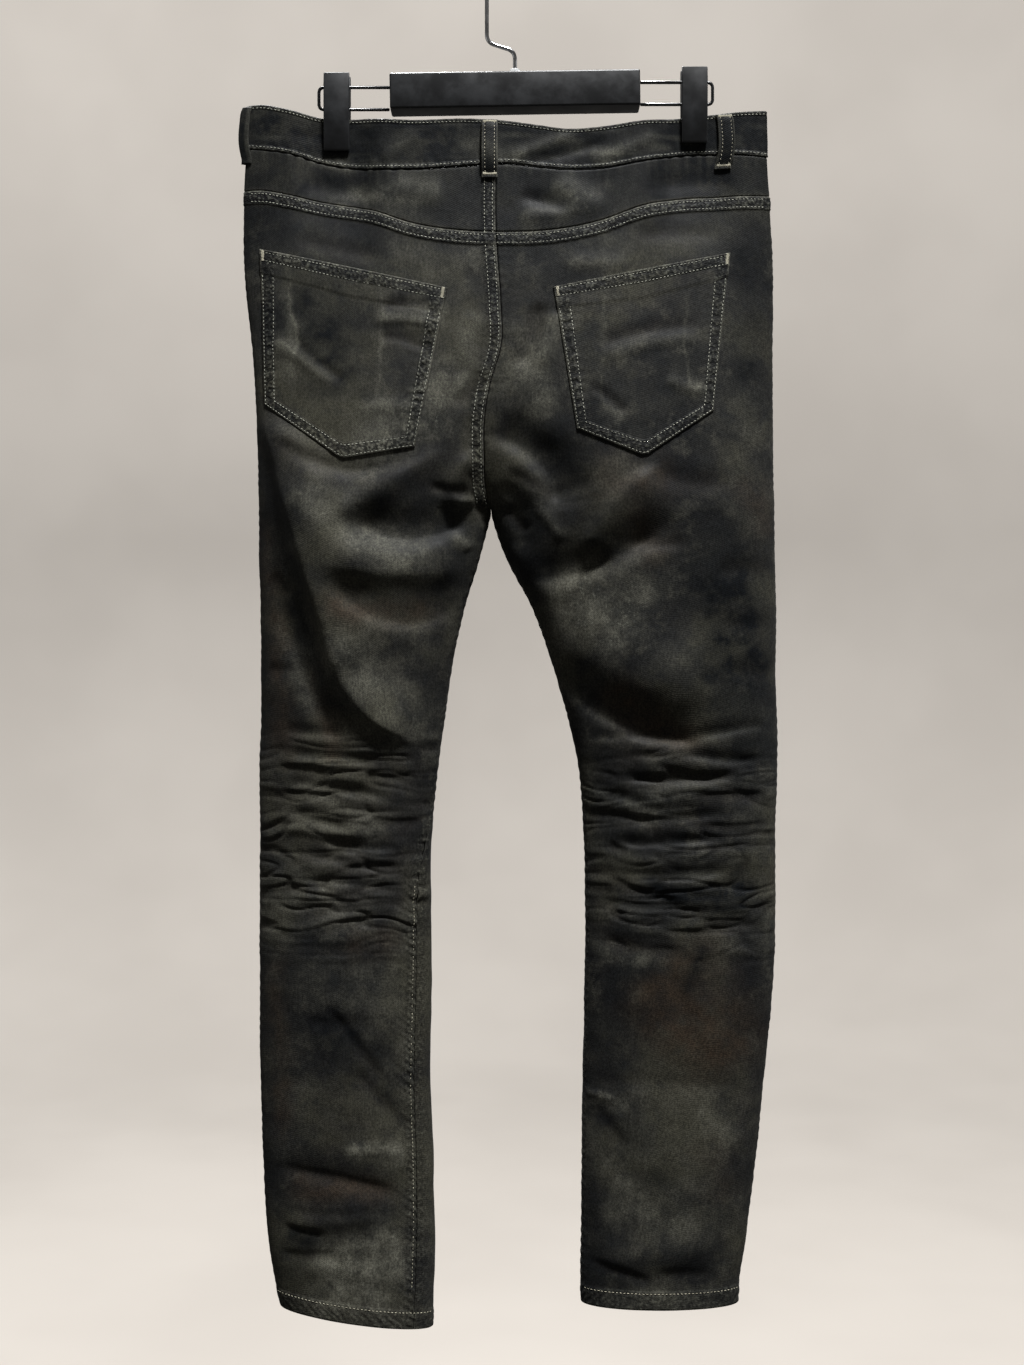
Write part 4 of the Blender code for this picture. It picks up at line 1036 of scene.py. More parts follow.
def leg(side, face):
    """One leg panel, from the yoke or the waistband to its hem, whose end is turned up inside."""
    nominal = spaced(LEG_ROWS[face])
    curl = np.linspace(0, math.pi, 6)[1:]
    up = np.linspace(0, HEM_TURN, 6)[1:]
    turned = np.concatenate([np.zeros(len(nominal)), HEM_CURL * np.sin(curl), -up])[:, None]
    behind = [np.zeros(len(nominal)), -HEM_CURL * (1 - np.cos(curl)), np.full(len(up), -2 * HEM_CURL)]
    behind = np.concatenate(behind)[:, None]
    nominal = np.concatenate([nominal, np.full(len(curl) + len(up), nominal[-1])])[:, None]
    share = shares(LEG_COLUMNS[face])[None, :]
    drop = np.broadcast_to(nominal, (len(nominal), share.shape[1]))
    for _ in SETTLING:
        start = GAP / 2 / column(SECTIONS, face, drop)
        end = seam_angle(side, face, drop)
        around = (start if face == "back" else -start) * (1 - share) + end * share
        x = cloth_x(side, around, drop, 0.0)
        top = (panel_top(side, face, x) - LEG_TOP) * (1 - fade(nominal, *CREASE_ROWS_FADE))
        hem = (hem_line(side, x) - HEM_DROP) * fade(nominal, *HEM_ROWS_FADE)
        drop = nominal + top + hem
    drop = drop - HEM_CURL * fade(nominal, HEM_DROP - 30, HEM_DROP) + turned
    below = np.broadcast_to(behind < -0.01, drop.shape)
    bare = skin(side, around, drop, 0.0)[0]
    rise, worn, drawn = leg_rise(side, face, bare, drop, below)
    points, relief = skin(side, around, drop, rise + np.where(below, HEM_RAISE + behind, 0))
    tone = tones(around, points[..., 0], drop, relief, worn)
    return sheet_grid(f"{face}_leg_{side}_cloth", points, tone, CLOTH, drawn)


def yoke(side):
    """The piece between the waistband and the back panel."""
    share = shares(96)[None, :]
    level = np.linspace(0, 1, 34)[:, None]
    drop = np.full((34, share.shape[1]), 215.0)
    for _ in SETTLING:
        start = GAP / 2 / column(SECTIONS, "back", drop)
        around = start * (1 - share) + seam_angle(side, "back", drop) * share
        x = cloth_x(side, around, drop, 0.0)
        top = band_edge("back", x, "bottom") + GAP / 2
        drop = top * (1 - level) + (column(BAND, "yoke", x) - GAP / 2) * level
    along = lengths(skin(side, around, drop, 0.0)[0], 1)
    inner = along[:, -1:] - along
    high = drop - top
    low = column(BAND, "yoke", x) - drop
    rise = -rolled(along) - rolled(inner) - rolled(low) - rolled(high)
    waves = pucker(x, high, 10, 9, 51)
    rise += 0.5 * waves + 0.4 * pucker(x, low, 9, 8, 53)
    worn = 0.3 * np.clip(waves, 0, 1) + 0.3 * (1 - fade(low, 0.6, 3))
    if side == "left":
        rise += lapped_seam(inner)
        worn += 0.6 * rubbed(inner, 2.8)
    points, relief = skin(side, around, drop, rise)
    drawn = channel(inner, SEAM_BAND) if side == "left" else 0.0
    tone = tones(around, x, drop, relief, worn)
    return sheet_grid(f"yoke_{side}_cloth", points, tone, CLOTH, drawn)


def facing(side):
    """The denim that shows in the mouth of a front pocket."""
    share = np.linspace(0, 1, 60)[None, :]
    level = np.linspace(0, 1, 46)[:, None]
    drop = np.full((46, 60), 215.0)
    for _ in SETTLING:
        start = -GAP / 2 / column(SECTIONS, "front", drop)
        end = seam_angle(side, "front", drop)
        around = start + (end - start) * share * 0.5
        x = cloth_x(side, around, drop, 0.0)
        drop = front_drop(x, "bottom") + GAP / 2 + FACING_HEIGHT * level
    behind = CLOTH + CLEAR + FACING_SLACK * fade(drop, *FACING_SLACK_FADE)
    points, relief = skin(side, around, drop, -behind)
    tone = tones(around, x, drop, relief, np.zeros(drop.shape))
    return sheet_grid(f"pocket_facing_{side}_cloth", points, tone, FACING_CLOTH)


def band_place(turn):
    """The half of the waistband and the angle round it, from its hidden front end round the back."""
    left = turn >= math.pi
    return left, np.where(left, 1.5 * math.pi - turn, turn - 0.5 * math.pi)


def band_skin(left, around, drop, rise):
    """The surface of a strip that runs over both halves of the garment."""
    on_left, relief_left = skin("left", around, drop, rise)
    on_right, relief_right = skin("right", around, drop, rise)
    return np.where(left[..., None], on_left, on_right), np.where(left, relief_left, relief_right)


def waistband():
    """One strip from under the fly, round the back, to its end that laps over in front."""
    turn = np.linspace(0, 2 * math.pi + LAP_REACH, 500)[None, :]
    edge = (0, 0.008, 0.02, 0.04)
    level = np.concatenate([edge, np.linspace(0.07, 0.93, 20), [1 - s for s in edge[::-1]]])[:, None]
    turn, level = np.broadcast_arrays(turn, level)
    left, around = band_place(turn)
    drop = np.full(turn.shape, 170.0)
    for _ in SETTLING:
        x = np.where(left, cloth_x("left", around, drop, 0.0), cloth_x("right", around, drop, 0.0))
        back = around >= 0
        top = np.where(back, band_edge("back", x, "top"), band_edge("front", x, "top"))
        foot = np.where(back, band_edge("back", x, "bottom"), band_edge("front", x, "bottom")) - GAP / 2
        drop = top * (1 - level) + foot * level
    high = drop - top
    low = foot - drop
    lapped = left * fade(-around, *LAP_RISE)
    rise = BAND_OUTER + (BAND_WALL + CLEAR) * lapped
    rise = rise - rolled(high, 1.1) - rolled(low, 1.0) + dip(high - BAND_ROW, 0.3) + dip(low - BAND_ROW, 0.3)
    waves = pucker(x, high, 13, 9, 55) * 0.35 + pucker(x + 0.5 * low, low, 11, 9, 57) * 0.45
    rise += waves
    worn = 0.5 * (1 - fade(high, 0.8, 3.0)) + 0.45 * (1 - fade(low, 0.8, 3.0)) + 0.4 * np.clip(waves, 0, 1)
    worn = 0.6 * worn + 0.32 * np.clip(noise(x, around, drop, (26, 1, 5), 101) - 0.1, 0, 1)
    points, relief = band_skin(left, around, drop, rise)
    tone = tones(around, x, drop, relief, worn)
    tone[..., 2] = np.clip(tone[..., 2] + 0.85 + 0.3 * noise(x, around, drop, (34, 1, 9), 103), 0, 1)
    drawn = np.maximum(channel(high, 3.2), channel(low, 3.2))
    return sheet_grid("waistband_cloth", points, tone, BAND_WALL, drawn)


def pocket_spot(side, across, down):
    """x and drop of a place on a back pocket, given as shares of its width and height."""
    corners = POCKETS[side]
    feet = (corners.bottom_left, corners.point, corners.bottom_right)
    spot = []
    for axis in range(2):
        top = corners.top_left[axis] * (1 - across) + corners.top_right[axis] * across
        foot = np.interp(across, (0, 0.5, 1), [corner[axis] for corner in feet])
        soft = sum(np.interp(np.clip(across + s, 0, 1), (0, 0.5, 1), [corner[axis] for corner in feet])
                   for s in (-0.02, 0.02)) / 2
        foot = np.where((across > 0.02) & (across < 0.98), soft, foot)
        spot.append(top * (1 - down) + foot * down)
    return spot


def pocket_edges(side, across, down):
    """The distances of a place on a back pocket from its left, right, top and bottom edges."""
    corners = POCKETS[side]
    width = corners.top_right[0] - corners.top_left[0]
    height = corners.point[1] - (corners.top_left[1] + corners.top_right[1]) / 2
    return across * width * 0.94, (1 - across) * width * 0.94, down * height, (1 - down) * height * 0.97


def back_pocket(side):
    """A patch pocket with a pointed foot, a folded hem along its mouth and two rows of stitches round it."""
    ends = np.array((0, 0.003, 0.006, 0.010))
    share = np.concatenate([ends, np.linspace(0.018, 0.982, 104), 1 - ends[::-1]])
    across, down = np.meshgrid(share, share)
    x, drop = pocket_spot(side, across, down)
    start, end, high, low = pocket_edges(side, across, down)
    rim = np.minimum(np.minimum(start, end), low)
    rise = POCKET_CLEAR + CLOTH + POCKET_HEM_EXTRA * (1 - fade(high, POCKET_HEM - 1.2, POCKET_HEM + 0.8))
    rise = rise - rolled(rim, 1.0) - rolled(high, 1.2)
    rise += dip(rim - POCKET_ROWS[0], 0.4) + dip(rim - POCKET_ROWS[1], 0.35)
    rise += dip(high - POCKET_MOUTH_ROWS[0], 0.3) + dip(high - POCKET_MOUTH_ROWS[1], 0.3)
    seed = 61 if side == "left" else 66
    around_edge = np.where(rim == low, x, drop)
    quilt = pucker(around_edge, np.abs(rim - 6.5), 8.5, 6, seed)
    rise += 0.4 * quilt + 0.3 * pucker(x, np.abs(high - 7), 9, 7, seed + 1)
    soft = noise(x, 0, drop, (40, 1, 30), seed + 2)
    rise += 0.5 * soft * fade(rim, 8, 26)
    worn = 0.6 * (1 - fade(rim, 0.6, 2.8)) + 0.65 * (1 - fade(high, 0.8, 3.4))
    worn += 0.34 * np.clip(quilt, 0, 1) + 0.25 * np.exp(-(((high - POCKET_HEM) / 1.4) ** 2))
    around = find_around(side, "back", x, drop)
    points, relief = skin(side, around, drop, rise)
    tone = tones(around, x, drop, relief, worn)
    drawn = np.maximum(channel(rim - 1, 11), channel(high, 11.5))
    return sheet_grid(f"back_pocket_{side}_cloth", points, tone, CLOTH, drawn)


def loop_lift(level, flat_foot):
    """How far the top side of a belt loop stands over the bare cloth, from its top to its foot."""
    stations = (0, 0.07, 0.24, 0.70, 0.84, 0.93, 1)
    arch = (0, 0.55, 1, 1, 0.4, 0, 0)
    low = 0.3 - BAND_OUTER if flat_foot else 0
    base = BAND_OUTER + CLEAR + np.array((0, 0, 0, 0, 0, low, low))
    return smooth(level, stations, base + LOOP_ARCH * np.array(arch)) + LOOP_CLOTH


def loop_rise(across, level, flat_foot):
    """The whole rise of a belt loop, with its crown, rolled edges and the dents of its two rows."""
    edge = LOOP_WIDTH * (0.5 - np.abs(across - 0.5))
    lift = loop_lift(level, flat_foot) + 0.5 * (1 - (2 * across - 1) ** 2)
    return lift - rolled(edge, 0.8) + dip(edge - LOOP_ROW, 0.35, 0.8), edge


def loop_grid():
    """The places over a belt loop, as shares across it and down it, closer along its rolled edges."""
    ends = np.array((0, 0.02, 0.05))
    across = np.concatenate([ends, np.linspace(0.09, 0.91, 24), 1 - ends[::-1]])
    return np.meshgrid(across, np.linspace(0, 1, 60))


def belt_loop(name, face, centre):
    """A loop sewn down at the top of the waistband and just below its seam, its middle standing off."""
    top = float(band_edge(face, centre, "top")) + 1
    foot = float(band_edge(face, centre, "bottom")) + LOOP_FOOT
    across, level = loop_grid()
    x = centre + LOOP_WIDTH * (across - 0.5)
    drop = top + (foot - top) * level
    rise, edge = loop_rise(across, level, True)
    side = "left" if on_left(face, np.float64(centre), 190.0) else "right"
    around = find_around(side, face, x, drop)
    points, relief = skin(side, around, drop, rise, relief=0.3)
    worn = 0.55 * rubbed(edge, 2.2) + 0.25 * fade(level, 0.8, 0.95)
    tone = tones(around, x, drop, relief, 0.6 * worn)
    tone[..., 2] = 1
    return sheet_grid(name + "_cloth", points, tone, LOOP_CLOTH)


def side_loop():
    """The loop at the left outseam, folded round the edge of the waistband."""
    top = float(column(BAND, "top", SIDE_LOOP_X)) + 1
    foot = float(column(BAND, "bottom", SIDE_LOOP_X)) + LOOP_FOOT
    across, level = loop_grid()
    drop = top + (foot - top) * level
    rise, edge = loop_rise(across, level, False)
    around = SIDE_LOOP_ANGLE * (2 * across - 1)
    points, relief = skin("left", around, drop, rise, relief=0.3)
    worn = 0.55 * rubbed(edge, 2.2)
    tone = tones(around, points[..., 0], drop, relief, 0.6 * worn)
    tone[..., 2] = 1
    return sheet_grid("belt_loop_left_cloth", points, tone, LOOP_CLOTH)


def fly_edge(across):
    """x of a place across the fly flap, with the flap's top and its length there."""
    x = float(column(CENTRE_SEAM, "front", FLY_TOP)) - FLY_WIDTH + (FLY_WIDTH + FLY_OVERLAP) * across
    length = FLY_LENGTH - FLY_ROUND * np.clip(1 - across / FLY_ROUND_SHARE, 0, 1) ** 2
    return x, front_drop(x, "bottom") + 2 * GAP, length


def fly_flap():
    """The stitched flap that covers the fly, rounded off towards the crotch."""
    across, level = np.meshgrid(shares(40), shares(110))
    x, top, length = fly_edge(across)
    drop = top + length * level
    start = across * (FLY_WIDTH + FLY_OVERLAP)
    end = (1 - across) * (FLY_WIDTH + FLY_OVERLAP)
    seam = np.minimum(np.minimum(start, end), (1 - level) * length)
    rise = CLEAR + CLOTH - rolled(seam, 1.0) - rolled(drop - top, 1.0)
    for away in FLY_ROWS:
        rise += dip(start - away, 0.35)
    rise += 0.3 * pucker(drop, start - 5, 9, 8, 77)
    worn = 0.5 * (1 - fade(seam, 0.6, 2.6))
    points = on_face("front", x, drop, rise)
    tone = tones(-np.ones(x.shape), x, drop, np.zeros(x.shape), worn)
    return sheet_grid("fly_flap_cloth", points, tone, CLOTH)


def normals_at(face, x, drop, rise):
    """Places on one face, with the outward direction there."""
    here = on_face(face, x, drop, rise)
    aside = on_face(face, x + 0.6, drop, rise) - here
    below = on_face(face, x, drop + 0.6, rise) - here
    out = np.cross(aside, below)
    out /= np.linalg.norm(out, axis=-1, keepdims=True) + 1e-9
    return here, out * np.where(out[:, 1:2] * here[:, 1:2] < 0, -1, 1)


def stitched(face, x, drop, rise, pitch=STITCH_PITCH):
    """Stitches set out evenly along a line on one face: their middles, their run and the way out."""
    x, drop = np.broadcast_arrays(np.asarray(x, float), np.asarray(drop, float))
    line = on_face(face, x, drop, np.zeros(x.shape))
    run = np.concatenate([[0], np.cumsum(np.linalg.norm(np.diff(line, axis=0), axis=-1))])
    at = np.arange(pitch / 2, run[-1], pitch)
    place_x, place_drop = np.interp(at, run, x), np.interp(at, run, drop)
    rise = np.interp(at, run, np.broadcast_to(rise, x.shape))
    middle, out = normals_at(face, place_x, place_drop, rise)
    ahead, behind = at + 0.4, at - 0.4
    along = on_face(face, np.interp(ahead, run, x), np.interp(ahead, run, drop), rise)
    along = along - on_face(face, np.interp(behind, run, x), np.interp(behind, run, drop), rise)
    along /= np.linalg.norm(along, axis=-1, keepdims=True) + 1e-9
    return middle, along, out


def thread_bead():
    """One stitch, lying along x with its middle at the origin, as its points and faces."""
    bm = bmesh.new()
    bmesh.ops.create_uvsphere(bm, u_segments=6, v_segments=5, radius=0.5)
    bmesh.ops.rotate(bm, cent=(0, 0, 0), matrix=Matrix.Rotation(math.pi / 2, 3, "Y"), verts=bm.verts)
    points = np.array([vert.co for vert in bm.verts])
    faces = [[vert.index for vert in part.verts] for part in bm.faces]
    bm.free()
    return points, faces


def sewn(name, runs, slot="thread"):
    """One mesh of all the stitches of some runs. Each run gives middles, directions, ways out and a size."""
    bead, faces = thread_bead()
    points = []
    for (middle, along, out), (length, width) in runs:
        side = np.cross(out, along)
        side /= np.linalg.norm(side, axis=-1, keepdims=True) + 1e-9
        shape = bead * (length, width, width * 0.8)
        spread = shape[None, :, 0:1] * along[:, None] + shape[None, :, 1:2] * side[:, None]
        points.append((middle[:, None] + spread + shape[None, :, 2:3] * out[:, None]).reshape(-1, 3))
    points = np.concatenate(points) * MM
    count = len(points) // len(bead)
    joined = [[index + i * len(bead) for index in part] for i in range(count) for part in faces]
    mesh = bpy.data.meshes.new(name)
    mesh.from_pydata(points.tolist(), [], joined)
    mesh.update()
    mesh.shade_smooth()
    made = bpy.data.objects.new(name, mesh)
    bpy.context.scene.collection.objects.link(made)
    finish_piece(made, "coated_denim", MATERIALS[slot])
    return made


def across_run(run):
    """The same stitches turned to lie across their line, as in a bar tack."""
    middle, along, out = run
    return middle, np.cross(out, along), out


def tack(face, start, end, rise, width=3.2):
    """A bar tack: threads packed side by side along a short line."""
    x = np.linspace(start[0], end[0], 12)
    drop = np.linspace(start[1], end[1], 12)
    return across_run(stitched(face, x, drop, rise, 0.62)), (width, 0.75)


def garment_stitches():
    """The rows of stitches and the bar tacks, sorted by the colour of their thread."""
    dim = []
    pale = []
    seam_rise = BAND_RAISE + STITCH_PROUD - 0.3
    x = np.linspace(*YOKE_ROW_ENDS, 400)
    for away in STITCH_ROWS:
        dim.append((stitched("back", x, column(BAND, "yoke", x) + GAP / 2 + away, seam_rise), STITCH))
    band_rise = BAND_OUTER + STITCH_PROUD - 0.25
    for face, ends in BAND_ROW_ENDS.items():
        x = np.linspace(*ends, 400)
        for name, away in (("top", BAND_ROW), ("bottom", -BAND_ROW - GAP / 2)):
            dim.append((stitched(face, x, band_edge(face, x, name) + away, band_rise), STITCH))
    drop = np.linspace(*SEAT_ROW_ENDS, 300)
    centre = column(CENTRE_SEAM, "back", drop)
    for away in STITCH_ROWS:
        dim.append((stitched("back", centre - away - GAP / 2, drop, seam_rise), STITCH))
    drop = np.linspace(*INSEAM_ROW_ENDS, 300)
    out, half = section_edges("left", "back", drop, 0.0)
    seam_x = out + half * (1 - np.cos(seam_angle("left", "back", drop)))
    pale.append((stitched("back", seam_x - 3.0, drop, STITCH_PROUD), STITCH))
    for side in SIDES:
        for face in FACES:
            inset = TOWARDS_CENTRE[side] * 2.5
            low = float(column(SECTIONS, side + "_out", HEM_ROW_DROP)) + inset
            high = float(inner_edge(side, face, HEM_ROW_DROP)) - inset
            x = np.linspace(low, high, 120)
            row = hem_line(side, x) - HEM_HEIGHT + HEM_ROW
            pale.append((stitched(face, x, row, HEM_RAISE + STITCH_PROUD - 0.3), STITCH))
        pocket_rows(side, dim, pale)
        mouth_rows(side, dim, pale)
    for name, (face, centre) in LOOPS.items():
        loop_rows(face, centre, pale)
    fly_rows(dim, pale)
    sewn("stitches_dim", dim, "thread")
    sewn("stitches_pale", pale, "pale_thread")


def pocket_line(side, inset, count=260):
    """A line round the sides and foot of a back pocket at a distance in from its edge, as x and drop."""
    corners = POCKETS[side]
    width = (corners.top_right[0] - corners.top_left[0]) * 0.94
    height = corners.point[1] - (corners.top_left[1] + corners.top_right[1]) / 2
    near = inset / width
    low = 1 - inset / (height * 0.97)
    top = 3 / height
    route = [(near, top), (near, low), (1 - near, low), (1 - near, top)]
    steps = np.linspace(0, 3, count)
    across = np.interp(steps, range(4), [spot[0] for spot in route])
    down = np.interp(steps, range(4), [spot[1] for spot in route])
    return pocket_spot(side, across, down)


def pocket_rows(side, dim, pale):
    """Two rows round a back pocket, two along its mouth, and a bar tack at each top corner."""
    rise = POCKET_CLEAR + CLOTH + STITCH_PROUD - 0.3
    for inset in POCKET_ROWS:
        x, drop = pocket_line(side, inset)
        dim.append((stitched("back", x, drop, rise), STITCH))
    height = POCKETS[side].point[1] - (POCKETS[side].top_left[1] + POCKETS[side].top_right[1]) / 2
    for away in POCKET_MOUTH_ROWS:
        across = np.linspace(0.012, 0.988, 160)
        x, drop = pocket_spot(side, across, np.full(160, away / height))
        dim.append((stitched("back", x, drop, rise + POCKET_HEM_EXTRA), STITCH))
    for across in (0.02, 0.98):
        tops = [pocket_spot(side, np.array([across]), np.array([level])) for level in (0.004, 0.07)]
        start, end = [(float(x[0]), float(drop[0])) for x, drop in tops]
        pale.append(tack("back", start, end, rise + POCKET_HEM_EXTRA))


def mouth_rows(side, dim, pale):
    """The two rows along a front pocket's mouth, with bar tacks at both ends."""
    out = float(column(SECTIONS, side + "_out", MOUTH_DROP))
    towards = TOWARDS_CENTRE[side]
    reach = np.linspace(0.015, 0.985, 160) ** 1.3 * SCOOP_WIDTH
    x = out + towards * (reach + 2)
    drop = panel_top(side, "front", x)
    for away in MOUTH_ROWS:
        slope = np.gradient(drop, x)
        norm = np.hypot(1, slope)
        row_x = x - slope / norm * away
        row_drop = drop + away / norm
        dim.append((stitched("front", row_x, row_drop, STITCH_PROUD - 0.1), STITCH))
    inner_x = out + towards * (SCOOP_WIDTH + 3)
    inner_drop = float(panel_top(side, "front", np.array([inner_x]))[0])
    pale.append(tack("front", (inner_x, inner_drop + 1), (inner_x, inner_drop + 11), STITCH_PROUD))


def loop_rows(face, centre, pale):
    """Two rows down a belt loop and a bar tack at each end of it."""
    top = float(band_edge(face, centre, "top")) + 1
    foot = float(band_edge(face, centre, "bottom")) + LOOP_FOOT
    level = np.linspace(0.03, 0.97, 60)
    for across in (0.21, 0.79):
        rise = loop_rise(np.full(60, across), level, True)[0]
        x = np.full(60, centre + LOOP_WIDTH * (across - 0.5))
        pale.append((stitched(face, x, top + (foot - top) * level, rise + STITCH_PROUD - 0.1), STITCH))
    for level in (0.035, 0.93):
        rise = float(loop_rise(np.array([0.5]), np.array([level]), True)[0][0]) + STITCH_PROUD - 0.2
        drop = top + (foot - top) * level
        half = LOOP_WIDTH * 0.42
        pale.append(tack(face, (centre - half, drop), (centre + half, drop), rise, 2.6))


def fly_rows(dim, pale):
    """The two rows that bend round to the fly's foot, and its bar tacks."""
    centre = float(column(CENTRE_SEAM, "front", FLY_TOP))
    level = np.linspace(0.02, 0.985, 120)
    for away in FLY_ROWS:
        bend = np.clip((level - 0.62) / 0.38, 0, 1) ** 2.2
        run = away + (FLY_WIDTH + FLY_OVERLAP - 6 - away) * bend
        x, top, length = fly_edge(run / (FLY_WIDTH + FLY_OVERLAP))
        drop = top + length * np.minimum(level, 0.97)
        dim.append((stitched("front", x, drop, CLEAR + CLOTH + STITCH_PROUD - 0.2), STITCH))
    drop = float(front_drop(centre, "bottom")) + FLY_LENGTH - 18
    pale.append(tack("front", (centre - 8, drop - 5), (centre + 1, drop + 4), CLEAR + CLOTH + STITCH_PROUD))


def turned(name, profile, place, slot, steps=64):
    """A turned piece: a profile of radius and depth spun round an axis along y through a place."""
    bm = bmesh.new()
    verts = [bm.verts.new((radius * MM, -depth * MM, 0)) for radius, depth in profile]
    edges = [bm.edges.new(pair) for pair in zip(verts, verts[1:])]
    bmesh.ops.spin(
        bm, geom=verts + edges, cent=(0, 0, 0), axis=(0, 1, 0), angle=2 * math.pi, steps=steps, use_merge=True
    )
    bmesh.ops.remove_doubles(bm, verts=bm.verts, dist=1e-6)
    bmesh.ops.recalc_face_normals(bm, faces=bm.faces)
    bmesh.ops.translate(bm, vec=[MM * value for value in place], verts=bm.verts)
    return solid_piece(name, bm, slot)


def solid_piece(name, bm, slot, sharp=40):
    """Makes an object of a bmesh, smooth but for its sharp edges."""
    mesh = bpy.data.meshes.new(name)
    bm.to_mesh(mesh)
    bm.free()
    mesh.shade_smooth()
    mesh.set_sharp_from_angle(angle=math.radians(sharp))
    made = bpy.data.objects.new(name, mesh)
    bpy.context.scene.collection.objects.link(made)
    finish_piece(made, slot)
    return made


def waist_button():
    """A plain domed tack button with a raised rim, on the lapped end of the waistband."""
    low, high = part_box("waist_button")
    place = ((low.x + high.x) / 2 / MM, low.y / MM, (low.z + high.z) / 2 / MM)
    radius, height = BUTTON_RADIUS, BUTTON_HEIGHT
    profile = [
        (0, 0), (radius - 0.6, 0), (radius - 0.1, -0.5), (radius, -1.2), (radius - 0.2, -height + 0.7),
        (radius - 0.8, -height + 0.1), (radius - 1.5, -height), (radius - 2.2, -height + 0.3),
        (radius - 2.7, -height + 0.9), (radius - 3.4, -height + 0.9), (2.6, -height + 0.55),
        (1.8, -height + 0.5), (0, -height + 0.42),
    ]
    turned("waist_button_dome", profile, place, "gun_metal")


def hanger_bar():
    """The moulded bar: a straight block with softly rounded edges, tilted a little."""
    bm = bmesh.new()
    bmesh.ops.create_cube(bm, size=1)
    bmesh.ops.scale(bm, vec=(BAR_LENGTH * MM, BAR_DEPTH * MM, BAR_HEIGHT * MM), verts=bm.verts)
    bmesh.ops.bevel(
        bm, geom=bm.edges[:], offset=1.6 * MM, affect="EDGES", segments=4, profile=0.5, material=-1
    )
    bmesh.ops.rotate(bm, cent=(0, 0, 0), matrix=Matrix.Rotation(-BAR_TILT, 3, "Y"), verts=bm.verts)
    bmesh.ops.translate(bm, vec=(0, 0, -BAR_DROP * MM), verts=bm.verts)
    solid_piece("hanger_bar_moulding", bm, "black_plastic")


def rounded_route(corners, bend, steps=10):
    """A route through corners, each cut by a smooth bend."""
    route = [np.array(corners[0], float)]
    for before, corner, after in zip(corners, corners[1:], corners[2:]):
        before, corner, after = (np.array(point, float) for point in (before, corner, after))
        start = corner + (before - corner) * min(bend / np.linalg.norm(before - corner), 0.5)
        end = corner + (after - corner) * min(bend / np.linalg.norm(after - corner), 0.5)
        for s in np.linspace(0, 1, steps + 1):
            route.append((1 - s) ** 2 * start + 2 * s * (1 - s) * corner + s**2 * end)
    route.append(np.array(corners[-1], float))
    return route


def bent_wire(name, route, thickness, slot):
    """A round wire with rounded ends along a route of x and drop, in the plane of the hanger."""
    route = np.array(route)
    run = np.gradient(route, axis=0)
    run /= np.linalg.norm(run, axis=1, keepdims=True)
    radius = thickness / 2
    ends = [(0.0, 0.35), (0.12, 0.75), (0.35, 1.0)]
    places = [(route[0] + run[0] * step * radius, run[0], size) for step, size in ends]
    places += [(spot, way, 1.0) for spot, way in zip(route[1:-1], run[1:-1])]
    places += [(route[-1] - run[-1] * step * radius, run[-1], size) for step, size in ends[::-1]]
    bm = bmesh.new()
    rings = []
    for (x, drop), (dx, ddrop), size in places:
        ring = bmesh.ops.create_circle(bm, cap_ends=False, segments=20, radius=radius * size * MM)["verts"]
        turn = Vector((0, 0, 1)).rotation_difference(Vector((dx, 0, -ddrop))).to_matrix()
        bmesh.ops.rotate(bm, cent=(0, 0, 0), matrix=turn, verts=ring)
        bmesh.ops.translate(bm, vec=(x * MM, 0, -drop * MM), verts=ring)
        rings.append([edge for edge in bm.edges if edge.verts[0] in ring and edge.verts[1] in ring])
    for one, other in zip(rings, rings[1:]):
        bmesh.ops.bridge_loops(bm, edges=one + other)
    bmesh.ops.holes_fill(bm, edges=rings[0] + rings[-1], sides=0)
    bmesh.ops.recalc_face_normals(bm, faces=bm.faces)
    return solid_piece(name, bm, slot, 60)


def hanger_wire(side):
    """The wire that carries a clip: out of the bar, round, and back into it."""
    clip = CLIPS[side]
    outward = -TOWARDS_CENTRE[side]
    start = outward * (BAR_LENGTH / 2 + GAP + 0.4)
    corners = [
        (start, clip.upper_wire),
        (clip.wire_end, clip.upper_wire),
        (clip.wire_end, clip.lower_wire),
        (start, clip.lower_wire),
    ]
    bent_wire(f"hanger_wire_{side}_rod", rounded_route(corners, WIRE_BEND), WIRE_THICKNESS, "dark_wire")


